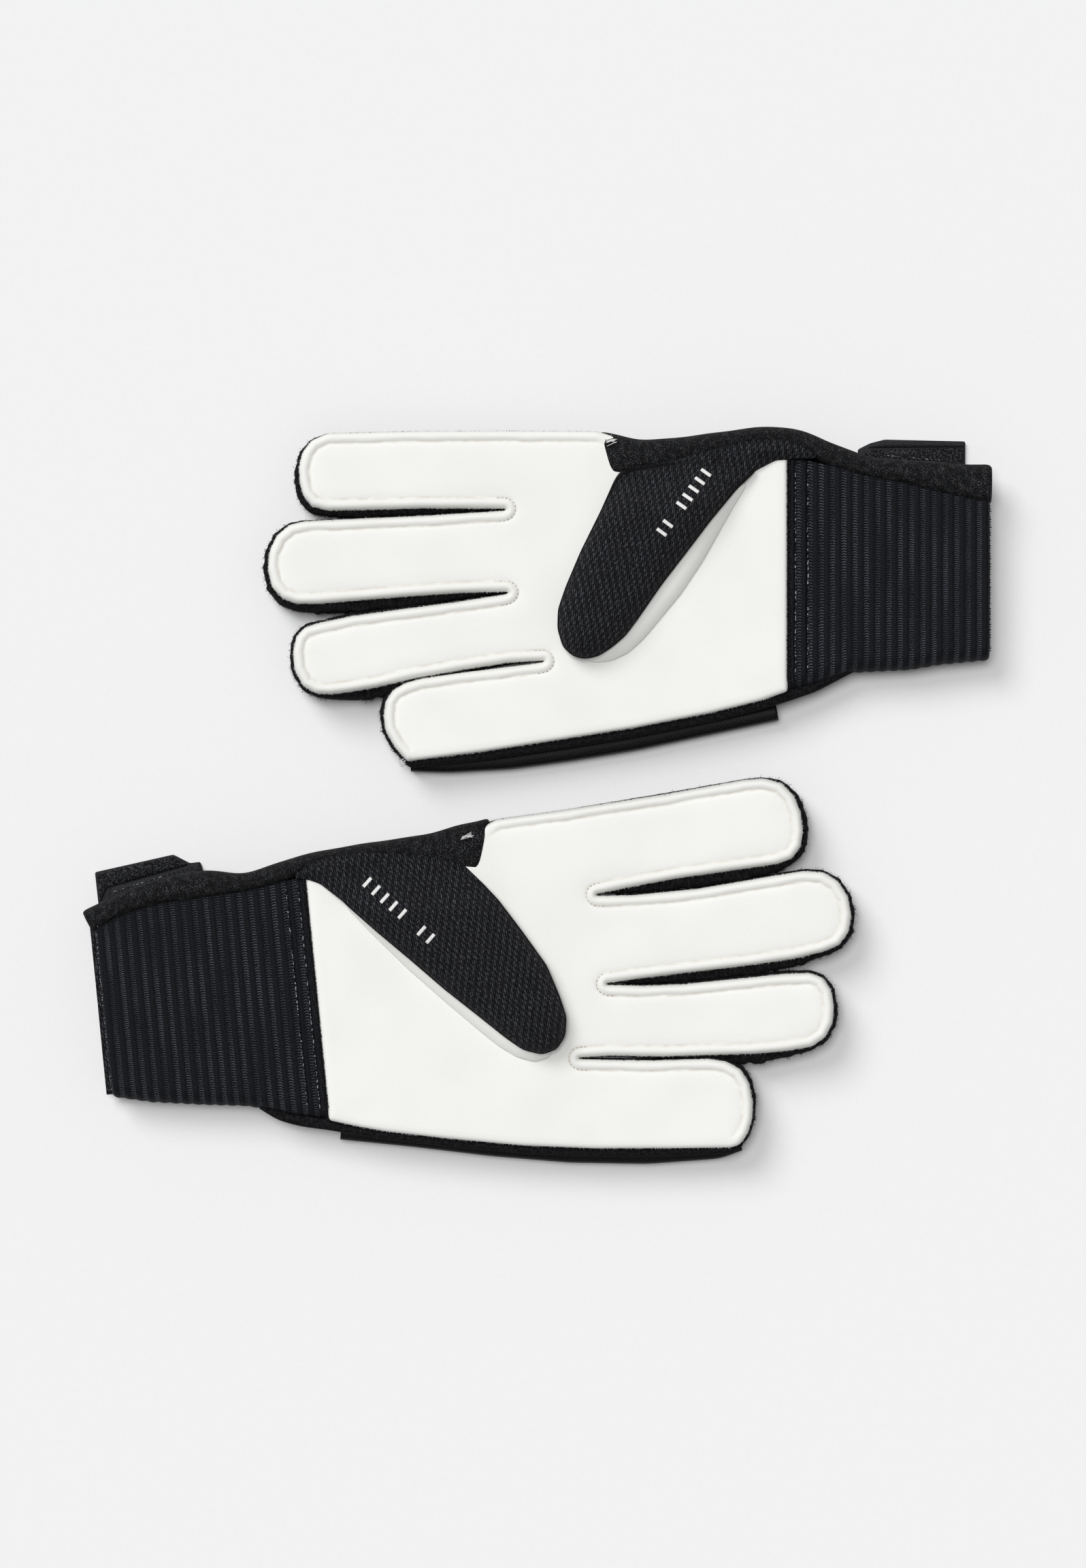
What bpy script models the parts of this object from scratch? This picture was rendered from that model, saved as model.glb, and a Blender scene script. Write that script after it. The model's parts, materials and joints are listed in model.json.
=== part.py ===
"""A pair of junior goalkeeper gloves lying side by side, palms up.

Each glove is built in its own plan frame: x runs from the wrist seam to the
fingertips, y towards the thumb side, z up from the table. World frame: metres,
+Z up, origin in the middle of the pair on the table. All lengths below are in
millimetres and MM turns them into metres.
"""
import math

import bpy
from mathutils import Matrix, Vector

MM = 0.001

# Layers of the hand, from the table upwards
GAP = 0.3            # clearance between pieces that are sewn or laid together
BACK_T = 4.5         # padded backhand and finger backs
WALL_H = 6.9         # height of the gusset walls, so of the finger pockets
WALL_T = 1.6         # thickness of the gusset walls
LATEX_T = 4.5        # palm latex foam with its puffed edge
FOLD_CLEAR = 0.5     # room the palm latex leaves for a finger folded onto it

# Thumb, which lies folded across the palm
THUMB_LIFT = 0.5     # between the palm latex and the thumb latex
THUMB_LATEX_T = 3.5
THUMB_WALL_H = 5.2
THUMB_BACK_T = 3.2
THUMB_REACH = 110.0  # how far the thumb opens, degrees

# Wrist, from the table upwards
STRAP_T = 1.8
HOOK_T = 0.8
LOOP_T = 0.7
CUFF_BACK_T = 1.8
WRIST_CAVITY = 7.2
ELASTIC_T = 2.0
ROLL_T = 11.7        # stuffed knit roll along the thumb side of the cuff

# Fingers
KNUCKLE_X = 103.0    # index, middle and ring hinge line, from the wrist seam
LITTLE_BACK = 13.0   # the little finger's hinge lies this much nearer the wrist
TIP_RADIUS = 10.0
TIP_PROUD = 1.3      # gusset fleece beyond the latex at a fingertip
WEB_ROOT = 14.0      # from a hinge back to the crotch between two fingers

# Sides of the hand
SIDE_T = 3.0         # thumb side panel
GUSSET_PROUD = 1.2   # little side gusset beyond the latex edge
OVERLAY_W = 7.0      # overlay strip along the backhand's little side
OVERLAY_FINGER = 4.0 # the same strip where it runs on along the little finger

# Strap and its fastener
STRAP_W = 34.6       # along the wrist
TAB_CHAMFER = (6.0, 4.0)
PAD_MARGIN = 4.0
PAD_Y = (2.0, 31.0)

# The pair on the table
PAIR_GAP = 2.8       # in plan, between the two gloves
PAIR_STAGGER = 49.5  # how far the right glove lies beyond the left one along X

# name: (width, length past the hinge, heading in degrees, gap to the one before)
RIGHT_FINGERS = {
    "index": (23.9, 54.7, 0.0, 0.0),
    "middle": (25.2, 65.0, -3.5, 2.3),
    "ring": (22.6, 57.2, -8.7, 2.7),
    "little": (24.4, 41.2, -8.4, 0.9),
}
LEFT_FINGERS = {
    "index": (26.6, 58.4, 3.6, 0.0),
    "middle": (26.2, 71.0, 0.9, 3.3),
    "ring": (22.8, 62.8, -2.3, 2.6),
    "little": (27.4, 47.0, -5.4, 1.0),
}

# Plan outlines that follow how each glove lies. Every list runs from the wrist
# towards the fingers. cuff_top is the roll's outer edge, elastic_top and
# elastic_low are the elastic's edges, side is the thumb side panel's outer edge
# and palm_low the latex edge between the seam and the little finger.
RIGHT = {
    "fingers": RIGHT_FINGERS,
    "forward": 180.0,
    "hand": -1,
    "index_edge": 46.1,
    "cuff_top": [(-65.5, 35.0), (-45.0, 37.0), (-23.6, 38.6), (-15.5, 42.3), (-7.5, 46.3), (0.0, 48.0)],
    "elastic_top": [(-65.5, 23.3), (-55.0, 25.8), (-40.0, 29.3), (-20.0, 32.8), (0.0, 37.8)],
    "elastic_low": [(-65.5, -27.0), (-50.0, -28.5), (-40.0, -30.2), (-20.0, -31.0), (0.0, -37.8)],
    "side": [(0.0, 48.0), (8.6, 48.0), (24.8, 46.0), (40.9, 44.0), (61.2, 46.1)],
    "palm_low": [(0.0, -37.8), (8.6, -40.5), (24.8, -44.3), (50.0, -49.2)],
    "thumb_base": [(53.5, 33.0), (52.0, 38.0), (4.5, 38.0), (3.0, 36.8)],
    "thumb_tip": (61.8, -14.6),
    "thumb_radius": 12.2,
    "thumb_shift": (-4.0, -1.0),
    "strap_x": -58.2,
    "strap_low": -27.5,
    "strap_end": 44.7,
}
LEFT = {
    "fingers": LEFT_FINGERS,
    "forward": 5.64,
    "hand": 1,
    "index_edge": 53.8,
    "cuff_top": [(-69.0, 37.4), (-57.0, 41.6), (-42.0, 44.9), (-20.3, 42.9), (-10.3, 45.0), (0.0, 47.2)],
    "elastic_top": [(-69.0, 30.0), (-60.0, 34.2), (-48.7, 36.0), (-32.0, 36.7), (0.0, 38.7)],
    "elastic_low": [(-69.0, -24.6), (-57.0, -27.5), (-40.3, -30.0), (-20.3, -33.3), (0.0, -39.0)],
    "side": [(0.0, 47.2), (18.0, 48.7), (34.7, 49.2), (51.3, 51.2), (61.7, 53.0)],
    "palm_low": [(0.0, -39.0), (18.0, -44.2), (38.0, -48.3), (61.3, -53.0)],
    "thumb_base": [(54.5, 35.0), (53.0, 39.5), (4.5, 39.5), (3.0, 38.3)],
    "thumb_tip": (67.6, -12.6),
    "thumb_radius": 11.4,
    "thumb_shift": (-2.5, -1.2),
    "strap_x": -68.0,
    "strap_low": -27.5,
    "strap_end": 50.2,
}

# Colours, roughness and metallic value of each material
MATERIALS = {
    "latex": ((0.91, 0.91, 0.89), 0.75, 0.0),
    "knit": ((0.012, 0.012, 0.014), 0.9, 0.0),
    "fleece": ((0.016, 0.016, 0.018), 1.0, 0.0),
    "overlay": ((0.014, 0.014, 0.016), 0.45, 0.0),
    "elastic": ((0.010, 0.012, 0.020), 0.85, 0.0),
    "strap": ((0.015, 0.015, 0.017), 0.6, 0.0),
    "hook_loop": ((0.02, 0.02, 0.022), 0.95, 0.0),
}

# Heights worked out from the layers: (bottom, top)
BACK_Z = (0.0, BACK_T)
WALL_Z = (BACK_T + GAP, BACK_T + GAP + WALL_H)
PALM_Z = (WALL_Z[1] + GAP, WALL_Z[1] + GAP + LATEX_T)
KNUCKLE_Z = PALM_Z[0] - GAP / 2
THUMB_LATEX_Z = (PALM_Z[1] + THUMB_LIFT, PALM_Z[1] + THUMB_LIFT + THUMB_LATEX_T)
THUMB_WALL_Z = (THUMB_LATEX_Z[1] + GAP, THUMB_LATEX_Z[1] + GAP + THUMB_WALL_H)
THUMB_BACK_Z = (THUMB_WALL_Z[1] + GAP, THUMB_WALL_Z[1] + GAP + THUMB_BACK_T)
THUMB_HINGE_Z = THUMB_LATEX_Z[1]
STRAP_Z = (0.0, STRAP_T)
HOOK_Z = (STRAP_T + GAP, STRAP_T + GAP + HOOK_T)
LOOP_Z = (HOOK_Z[1] + GAP, HOOK_Z[1] + GAP + LOOP_T)
CUFF_BACK_Z = (LOOP_Z[1] + GAP, LOOP_Z[1] + GAP + CUFF_BACK_T)
ROLL_Z = (CUFF_BACK_Z[1] + GAP, CUFF_BACK_Z[1] + GAP + ROLL_T)
ELASTIC_Z = (CUFF_BACK_Z[1] + GAP + WRIST_CAVITY, CUFF_BACK_Z[1] + GAP + WRIST_CAVITY + ELASTIC_T)
STRAP_HINGE_Z = HOOK_Z[1] / 2


# ---------------------------------------------------------------- placing

def clear_scene():
    """Remove whatever objects the file holds."""
    for old in list(bpy.data.objects):
        bpy.data.objects.remove(old, do_unlink=True)


def make_material(name):
    """A Principled material with the piece's own colour and roughness."""
    colour, roughness, metallic = MATERIALS[name]
    material = bpy.data.materials.new(name)
    material.use_nodes = True
    shader = material.node_tree.nodes["Principled BSDF"]
    shader.inputs["Base Color"].default_value = (*colour, 1.0)
    shader.inputs["Roughness"].default_value = roughness
    shader.inputs["Metallic"].default_value = metallic
    return material


class Glove:
    """One glove's plan frame, its collection and its joint empties."""

    def __init__(self, side, lay, collection):
        self.side = side
        self.lay = lay
        self.collection = collection
        angle = math.radians(lay["forward"])
        self.forward = Vector((math.cos(angle), math.sin(angle)))
        self.thumbward = lay["hand"] * Vector((-math.sin(angle), math.cos(angle)))
        self.origin = Vector((0.0, 0.0))
        self.fingers = finger_frames(lay)

    def world(self, point):
        """The world place, in metres, of a plan point."""
        spot = self.origin + point[0] * self.forward + point[1] * self.thumbward
        return spot * MM

    def direction(self, heading):
        """The world direction of a plan vector."""
        turned = heading[0] * self.forward + heading[1] * self.thumbward
        return Vector((turned.x, turned.y, 0.0)).normalized()

    def empty(self, name, point, height, axis):
        """An empty on a joint's axis, its X along the axis."""
        empty = bpy.data.objects.new(f"{self.side}_{name}", None)
        empty.empty_display_size = 0.02
        place = Vector((*self.world(point), height * MM))
        turn = axis.to_track_quat("X", "Z").to_matrix().to_4x4()
        empty.matrix_world = Matrix.Translation(place) @ turn
        self.collection.objects.link(empty)
        return empty

    def hang(self, piece, empty):
        """Parent a piece to its joint's empty and leave it where it is."""
        if empty is not None:
            piece.parent = empty
            piece.matrix_parent_inverse = empty.matrix_world.inverted()

    def slab(self, name, outline, heights, material, empty=None):
        """A flat piece: a filled 2D outline, extruded between two heights."""
        curve = bpy.data.curves.new(f"{self.side}_{name}", "CURVE")
        curve.dimensions = "2D"
        curve.fill_mode = "BOTH"
        curve.extrude = (heights[1] - heights[0]) / 2 * MM
        spline = curve.splines.new("POLY")
        spline.points.add(len(outline) - 1)
        for knot, point in zip(spline.points, outline):
            knot.co = (*self.world(point), 0.0, 1.0)
        spline.use_cyclic_u = True
        curve.materials.append(material)
        piece = bpy.data.objects.new(curve.name, curve)
        piece.location.z = (heights[0] + heights[1]) / 2 * MM
        self.collection.objects.link(piece)
        self.hang(piece, empty)
        return piece

    def loft(self, name, sections, material):
        """A closed solid through plan sections of the same number of points."""
        count = len(sections[0])
        verts = [(*self.world(p[:2]), p[2] * MM) for ring in sections for p in ring]
        faces = []
        for ring in range(len(sections) - 1):
            for i in range(count):
                j = (i + 1) % count
                a, b = ring * count, (ring + 1) * count
                faces.append((a + i, a + j, b + j, b + i))
        faces.append(tuple(range(count - 1, -1, -1)))
        faces.append(tuple(range((len(sections) - 1) * count, len(sections) * count)))
        if self.lay["hand"] < 0:
            faces = [tuple(reversed(face)) for face in faces]
        mesh = bpy.data.meshes.new(f"{self.side}_{name}")
        mesh.from_pydata(verts, [], faces)
        mesh.materials.append(material)
        piece = bpy.data.objects.new(mesh.name, mesh)
        self.collection.objects.link(piece)
        return piece


# ---------------------------------------------------------------- plan geometry

class Finger:
    """A finger's strip: its hinge point, heading and width in plan."""

    def __init__(self, base, heading, width, length):
        angle = math.radians(heading)
        self.base = Vector(base)
        self.along = Vector((math.cos(angle), math.sin(angle)))
        self.across = Vector((-math.sin(angle), math.cos(angle)))
        self.half = width / 2
        self.length = length

    def at(self, s, v):
        """The plan point s past the hinge and v to the thumb side."""
        return self.base + s * self.along + v * self.across

    def upper(self, s, inset=0.0):
        """A point on the strip's thumb side edge."""
        return self.at(s, self.half - inset)

    def lower(self, s, inset=0.0):
        """A point on the strip's little side edge."""
        return self.at(s, -self.half + inset)


def finger_frames(lay):
    """Lay the four fingers side by side from the index's outer edge."""
    frames = {}
    edge = Vector((KNUCKLE_X, lay["index_edge"]))
    for name, (width, length, heading, gap) in lay["fingers"].items():
        angle = math.radians(heading)
        across = Vector((-math.sin(angle), math.cos(angle)))
        along = Vector((across.y, -across.x))
        back = LITTLE_BACK if name == "little" else 0.0
        base = edge - (gap + width / 2) * across
        base += (KNUCKLE_X - back - base.x) / along.x * along
        frames[name] = Finger(base, heading, width, length)
        edge = frames[name].lower(-LITTLE_BACK if name == "ring" else 0.0)
    return frames


def arc(centre, radius, start, stop, steps):
    """Points on an arc, both ends included, angles in degrees."""
    points = []
    for i in range(steps + 1):
        angle = math.radians(start + (stop - start) * i / steps)
        points.append(Vector(centre) + radius * Vector((math.cos(angle), math.sin(angle))))
    return points


def finger_outline(finger, grow=0.0, inset=0.0, strip=0.0):
    """The finger past its hinge: straight sides and a round tip, seen in plan.

    grow lengthens it, inset draws it in all round, strip widens its little side.
    """
    radius = TIP_RADIUS - inset
    reach = finger.length + grow - inset - radius
    half = finger.half - inset - radius
    points = [finger.lower(GAP, inset - strip)]
    for side, start, wider in ((-1, -90.0, strip), (1, 0.0, 0.0)):
        corner = arc((reach, side * half - wider), radius, start, start + 90.0, 5)
        points += [finger.at(p.x, p.y) for p in corner]
    points.append(finger.upper(GAP, inset))
    return points


def resample(points, x):
    """The y of a polyline that runs along x."""
    for (x0, y0), (x1, y1) in zip(points, points[1:]):
        if x <= x1:
            break
    return y0 + (y1 - y0) * (x - x0) / (x1 - x0)


def shifted(points, dy, start=None):
    """A polyline moved across the hand, its first point drawn in by the gap."""
    moved = [(x, y + dy) for x, y in points]
    if start is not None:
        moved[0] = (start, moved[0][1])
    return moved


def front_edge(glove, setback):
    """The hand's front edge behind the hinges, from the little side to the thumb side."""
    fingers = glove.fingers
    points = [fingers["little"].lower(-setback), fingers["little"].upper(-setback, -GAP)]
    for name in ("ring", "middle", "index"):
        points += [fingers[name].lower(-setback), fingers[name].upper(-setback)]
    return points


def thumb_outline(lay, shift=(0.0, 0.0), inset=0.0):
    """The folded thumb: its root along the hand's side, tapering to a round tip."""
    root = [Vector(p) for p in lay["thumb_base"]]
    tip = Vector(lay["thumb_tip"]) + Vector(shift)
    radius = lay["thumb_radius"] - inset
    right, left = tangent_angles(root, tip, radius)
    points = [root[1] - Vector((inset, 0)), root[0] - Vector((inset, 0))]
    points += arc(tip, radius, right, left, 10)
    points += [root[3] + Vector((inset, 0)), root[2] + Vector((inset, 0))]
    return points


def tangent_angles(root, tip, radius):
    """Where straight sides from the root touch the tip circle, clockwise."""
    def angle(point, turn):
        away = point - tip
        return math.degrees(math.atan2(away.y, away.x) + turn * math.acos(radius / away.length))
    right = angle(root[0], -1.0)
    left = angle(root[3], 1.0) - 360.0
    return right, left


# ---------------------------------------------------------------- pieces

def build_hand(glove, materials):
    """Palm latex, backhand, side walls and the webs between the fingers."""
    lay, fingers = glove.lay, glove.fingers
    little, index = fingers["little"], fingers["index"]
    low = shifted(lay["palm_low"], 0.0, GAP)
    side = shifted(lay["side"], 0.0, GAP)
    notch = lay["thumb_base"][0]
    palm = low + front_edge(glove, LATEX_T + FOLD_CLEAR)
    palm += [side[-1], (notch[0], side[-1][1] - SIDE_T - GAP), (GAP, lay["elastic_top"][-1][1])]
    glove.slab("palm_latex", palm, PALM_Z, materials["latex"])

    back = low + front_edge(glove, GAP) + side[::-1]
    glove.slab("backhand_panel", back, BACK_Z, materials["knit"])

    overlay_in = shifted(lay["palm_low"], -GAP, GAP) + [little.lower(-GAP, -GAP)]
    overlay_out = shifted(lay["palm_low"], -OVERLAY_W, GAP) + [little.lower(-GAP, -OVERLAY_FINGER)]
    glove.slab("backhand_overlay", overlay_out + overlay_in[::-1], BACK_Z, materials["overlay"])

    panel = side + [index.upper(-GAP), index.upper(-GAP, SIDE_T)]
    panel += shifted(lay["side"], -SIDE_T, GAP)[::-1]
    glove.slab("thumb_side_panel", panel, WALL_Z, materials["knit"])

    outer = shifted(lay["palm_low"], -GUSSET_PROUD, GAP) + [little.lower(-GAP, 0.0)]
    inner = shifted(lay["palm_low"], WALL_T, GAP) + [little.lower(-GAP, WALL_T)]
    glove.slab("little_side_gusset", outer + inner[::-1], WALL_Z, materials["fleece"])

    for above, below in (("index", "middle"), ("middle", "ring"), ("ring", "little")):
        build_web(glove, above, below, materials["fleece"])


def build_web(glove, above, below, material):
    """The gusset that joins two fingers at their crotch."""
    a, b = glove.fingers[above], glove.fingers[below]
    back = LITTLE_BACK if below == "little" else 0.0
    outline = [a.lower(-GAP, WALL_T), a.lower(-GAP)]
    if back:
        outline.append(a.lower(-back - GAP))
    outline += [b.upper(-GAP), b.upper(-GAP, WALL_T), b.upper(-WEB_ROOT, WALL_T)]
    outline.append(a.lower(-back - WEB_ROOT, WALL_T))
    glove.slab(f"web_{above}_{below}", outline, WALL_Z, material)


def build_finger(glove, name, materials):
    """One finger: latex front, padded back and the gusset wall round its pocket."""
    finger = glove.fingers[name]
    ahead = glove.direction(finger.along)
    axis = ahead.cross(Vector((0.0, 0.0, 1.0)))
    hinge = glove.empty(f"{name}_hinge", finger.base, KNUCKLE_Z, axis)
    glove.slab(f"{name}_latex", finger_outline(finger), PALM_Z, materials["latex"], hinge)
    strip = OVERLAY_FINGER if name == "little" else 0.0
    back = finger_outline(finger, TIP_PROUD, strip=strip)
    glove.slab(f"{name}_back", back, BACK_Z, materials["knit"], hinge)
    grown = finger_outline(finger, TIP_PROUD)
    wall = grown + finger_outline(finger, TIP_PROUD, WALL_T)[::-1]
    glove.slab(f"{name}_gusset", wall, WALL_Z, materials["fleece"], hinge)


def build_thumb(glove, materials):
    """The folded thumb, hinged along its root on the thumb side of the palm."""
    lay = glove.lay
    edge = lay["thumb_base"][1][1] + GAP
    inward = glove.direction((0.0, -1.0))
    hinge = glove.empty("thumb_hinge", (0.0, edge), THUMB_HINGE_Z, inward.cross(Vector((0.0, 0.0, 1.0))))
    latex = thumb_outline(lay, lay["thumb_shift"])
    glove.slab("thumb_latex", latex, THUMB_LATEX_Z, materials["latex"], hinge)
    back = thumb_outline(lay)
    glove.slab("thumb_back", back, THUMB_BACK_Z, materials["knit"], hinge)
    wall = back + thumb_outline(lay, inset=WALL_T)[::-1]
    glove.slab("thumb_gusset", wall, THUMB_WALL_Z, materials["knit"], hinge)


def build_wrist(glove, materials):
    """Ribbed elastic, the knit roll and back of the cuff, and the loop pad."""
    lay = glove.lay
    end = lay["elastic_low"][0][0]
    stations = [end, end * 0.8, end * 0.6, end * 0.4, end * 0.2, -GAP]
    floor, ceiling = ELASTIC_Z
    foot = CUFF_BACK_Z[1] + GAP
    sections = []
    for x in stations:
        low = resample(lay["elastic_low"], x)
        high = resample(lay["elastic_top"], x) - GAP
        profile = [(high, ceiling), (low, ceiling), (low, foot)]
        profile += [(low + ELASTIC_T, foot), (low + ELASTIC_T, floor), (high, floor)]
        sections.append([(x, y, z) for y, z in profile])
    glove.loft("wrist_elastic", sections, materials["elastic"])

    top = lay["cuff_top"][:-1] + [(-GAP, lay["cuff_top"][-1][1])]
    seam = lay["elastic_top"][:-1] + [(-GAP, lay["elastic_top"][-1][1])]
    low = lay["elastic_low"][:-1] + [(-GAP, lay["elastic_low"][-1][1])]
    glove.slab("cuff_roll", top + seam[::-1], ROLL_Z, materials["knit"])
    glove.slab("cuff_back", low + top[::-1], CUFF_BACK_Z, materials["knit"])
    glove.slab("loop_pad", pad_outline(lay), LOOP_Z, materials["hook_loop"])


def pad_outline(lay):
    """The rectangle of a hook or loop pad."""
    x0, x1 = lay["strap_x"] + PAD_MARGIN, lay["strap_x"] + STRAP_W - PAD_MARGIN
    y0, y1 = PAD_Y
    return [(x0, y0), (x1, y0), (x1, y1), (x0, y1)]


def build_strap(glove, materials):
    """The closing strap, sewn on at the little side, with its hook pad."""
    lay = glove.lay
    root = lay["strap_low"]
    across = glove.direction((0.0, 1.0))
    axis = -across.cross(Vector((0.0, 0.0, 1.0)))
    hinge = glove.empty("strap_hinge", (0.0, root - GAP), STRAP_HINGE_Z, axis)
    x0, x1 = lay["strap_x"], lay["strap_x"] + STRAP_W
    end = lay["strap_end"]
    cut_x, cut_y = TAB_CHAMFER
    band = [(x0, root), (x1, root), (x1, end - cut_y), (x1 - cut_x, end), (x0, end)]
    glove.slab("strap_band", band, STRAP_Z, materials["strap"], hinge)
    glove.slab("hook_pad", pad_outline(lay), HOOK_Z, materials["hook_loop"], hinge)


def pair_gloves(right, left):
    """Lay the right glove above the left one in plan and centre the pair."""
    spans = {glove: plan_range(glove) for glove in (right, left)}
    for glove, lean in ((right, 1), (left, -1)):
        (x0, x1), _ = spans[glove]
        glove.origin.x = lean * PAIR_STAGGER / 2 - (x0 + x1) / 2
    right.origin.y = PAIR_GAP / 2 - spans[right][1][0]
    left.origin.y = -PAIR_GAP / 2 - spans[left][1][1]
    for axis in (0, 1):
        low = min(glove.origin[axis] + spans[glove][axis][0] for glove in spans)
        high = max(glove.origin[axis] + spans[glove][axis][1] for glove in spans)
        for glove in spans:
            glove.origin[axis] -= (low + high) / 2


def plan_range(glove):
    """The glove's extent along world X and Y when its origin is at zero."""
    lay, fingers = glove.lay, glove.fingers
    points = list(lay["cuff_top"]) + shifted(lay["palm_low"], -OVERLAY_W)
    points += lay["side"] + [lay["elastic_low"][0], (lay["strap_x"], lay["strap_end"])]
    for name, finger in fingers.items():
        strip = OVERLAY_FINGER if name == "little" else 0.0
        points += finger_outline(finger, TIP_PROUD, strip=strip)
    placed = [p[0] * glove.forward + p[1] * glove.thumbward for p in points]
    xs, ys = [p.x for p in placed], [p.y for p in placed]
    return (min(xs), max(xs)), (min(ys), max(ys))


def main():
    clear_scene()
    collection = bpy.data.collections.new("goalkeeper_gloves")
    bpy.context.scene.collection.children.link(collection)
    materials = {name: make_material(name) for name in MATERIALS}
    right = Glove("right", RIGHT, collection)
    left = Glove("left", LEFT, collection)
    pair_gloves(right, left)
    for glove in (right, left):
        build_hand(glove, materials)
        for name in glove.fingers:
            build_finger(glove, name, materials)
        build_thumb(glove, materials)
        build_wrist(glove, materials)
        build_strap(glove, materials)
    bpy.context.view_layer.update()


main()
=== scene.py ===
"""Looks for a pair of junior goalkeeper gloves that lie side by side, palms up, thumbs folded in.

Each glove is drawn in its own plan, in millimetres: x from the wrist seam to the fingertips,
y towards the thumb side, z up from the table. The plan is placed from the joints of the frame.
"""
import json

import bpy
import numpy as np
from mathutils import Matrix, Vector
from mathutils.geometry import delaunay_2d_cdt


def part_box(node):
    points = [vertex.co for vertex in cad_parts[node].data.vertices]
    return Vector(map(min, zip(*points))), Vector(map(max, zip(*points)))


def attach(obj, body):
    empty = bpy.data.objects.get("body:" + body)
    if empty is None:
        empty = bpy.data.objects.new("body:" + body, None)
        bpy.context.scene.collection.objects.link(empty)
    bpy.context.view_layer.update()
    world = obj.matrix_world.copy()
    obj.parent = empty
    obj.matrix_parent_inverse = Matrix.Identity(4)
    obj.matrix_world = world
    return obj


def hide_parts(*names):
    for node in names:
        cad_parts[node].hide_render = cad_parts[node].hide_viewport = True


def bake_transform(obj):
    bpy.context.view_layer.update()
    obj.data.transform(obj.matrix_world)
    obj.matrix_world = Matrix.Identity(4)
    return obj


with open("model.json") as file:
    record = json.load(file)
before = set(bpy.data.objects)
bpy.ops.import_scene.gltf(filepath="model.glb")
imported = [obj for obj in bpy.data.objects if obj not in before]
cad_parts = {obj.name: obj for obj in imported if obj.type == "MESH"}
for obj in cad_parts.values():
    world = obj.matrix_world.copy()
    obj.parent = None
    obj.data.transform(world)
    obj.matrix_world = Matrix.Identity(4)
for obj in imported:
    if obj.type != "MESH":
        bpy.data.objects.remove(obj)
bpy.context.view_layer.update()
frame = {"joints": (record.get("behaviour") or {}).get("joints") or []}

rng = np.random.default_rng(7)
joints = {j["name"]: j for j in frame["joints"]}
FINGERS = ("index", "middle", "ring", "little")

# ---- the plan of each glove
# Where each glove lies is read from the strap's and the thumb's hinges, which stand on the
# seam between palm and wrist. A finger's strip is read from its knuckle.
STRAP_TO_MIDDLE = 0.0278  # metres from the strap's hinge to the plan's x axis
# Millimetres from a finger's knuckle: where its piece is cut from the palm's, and where its bend would start
# and end.
CUT = {"index": -7.5, "middle": -7.5, "ring": -7.5, "little": -5.5}
BEND = {"index": (-6, 12), "middle": (-6, 12), "ring": (-6, 12), "little": (-4, 11)}


class Plan:
    """One glove's plan: the place of its origin and its two directions in the row frame."""

    def __init__(self, side):
        self.side = side
        strap, thumb, index = (np.array(joints[f"{side}_{name}"]["pos_m"])[:2]
                               for name in ("strap_peel", "thumb_open", "index_flex"))
        self.up = (thumb - strap) / np.linalg.norm(thumb - strap)
        self.ahead = np.array([self.up[1], -self.up[0]])
        if (index - strap) @ self.ahead < 0:
            self.ahead = -self.ahead
        self.origin = strap + STRAP_TO_MIDDLE * self.up
        self.knuckle = {}
        for name in FINGERS:
            joint = joints[f"{side}_{name}_flex"]
            at = self.local(np.array(joint["pos_m"]))[:2]
            axis = np.array(joint["axis"])[:2]
            axis = np.array([axis @ self.ahead, axis @ self.up])
            along = np.array([abs(axis[1]), -axis[0] * np.sign(axis[1])])
            self.knuckle[name] = (at, along / np.linalg.norm(along))

    def world(self, p):
        """Plan points in millimetres to row frame points in metres."""
        p = np.asarray(p, float) * 0.001
        flat = self.origin + p[..., :1] * self.ahead + p[..., 1:2] * self.up
        return np.concatenate([flat, p[..., 2:3]], -1)

    def local(self, p):
        """Row frame points in metres to plan points in millimetres."""
        d = p[..., :2] - self.origin
        return np.stack([d @ self.ahead, d @ self.up, p[..., 2]], -1) * 1000

    def past_root(self, p, owner):
        """Whether each plan point is past the root of the finger numbered by owner."""
        out = np.zeros(len(p), bool)
        for k, finger in enumerate(FINGERS):
            at, along = self.knuckle[finger]
            out |= (owner == k) & ((p[:, :2] - at) @ along > CUT[finger])
        return out


plans = {side: Plan(side) for side in ("right", "left")}

# ---- materials
# Matt foam, knits, fleece, webbing and thread, each drawn by a procedural pattern. Patterns are
# in millimetres in the cloth's own coordinate "lay", so they bend with it.
RIB = 3.65  # millimetres from one rib of the elastic to the next
GROOVE = 3.35  # millimetres from the latex edge to the groove beside its roll


class Value:
    """A number in a shader, which can be added, subtracted, multiplied and divided."""

    def __init__(self, tree, socket):
        self.tree, self.socket = tree, socket

    def __add__(self, other):
        return self.tree.math("ADD", self, other)

    def __sub__(self, other):
        return self.tree.math("SUBTRACT", self, other)

    def __mul__(self, other):
        return self.tree.math("MULTIPLY", self, other)

    def __truediv__(self, other):
        return self.tree.math("DIVIDE", self, other)

    def __abs__(self):
        return self.tree.math("ABSOLUTE", self)

    def wave(self, pitch, phase=0.0):
        """A sine of the value with the given pitch."""
        return self.tree.math("SINE", self * (2 * np.pi / pitch) + phase)

    def step(self, low, high, to_low=0.0, to_high=1.0):
        """A smooth step from to_low to to_high while the value goes from low to high."""
        node = self.tree.add("ShaderNodeMapRange", {"interpolation_type": "SMOOTHSTEP"}, Value=self)
        for key, number in (("From Min", low), ("From Max", high), ("To Min", to_low), ("To Max", to_high)):
            node.inputs[key].default_value = number
        return Value(self.tree, node.outputs[0])


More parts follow.
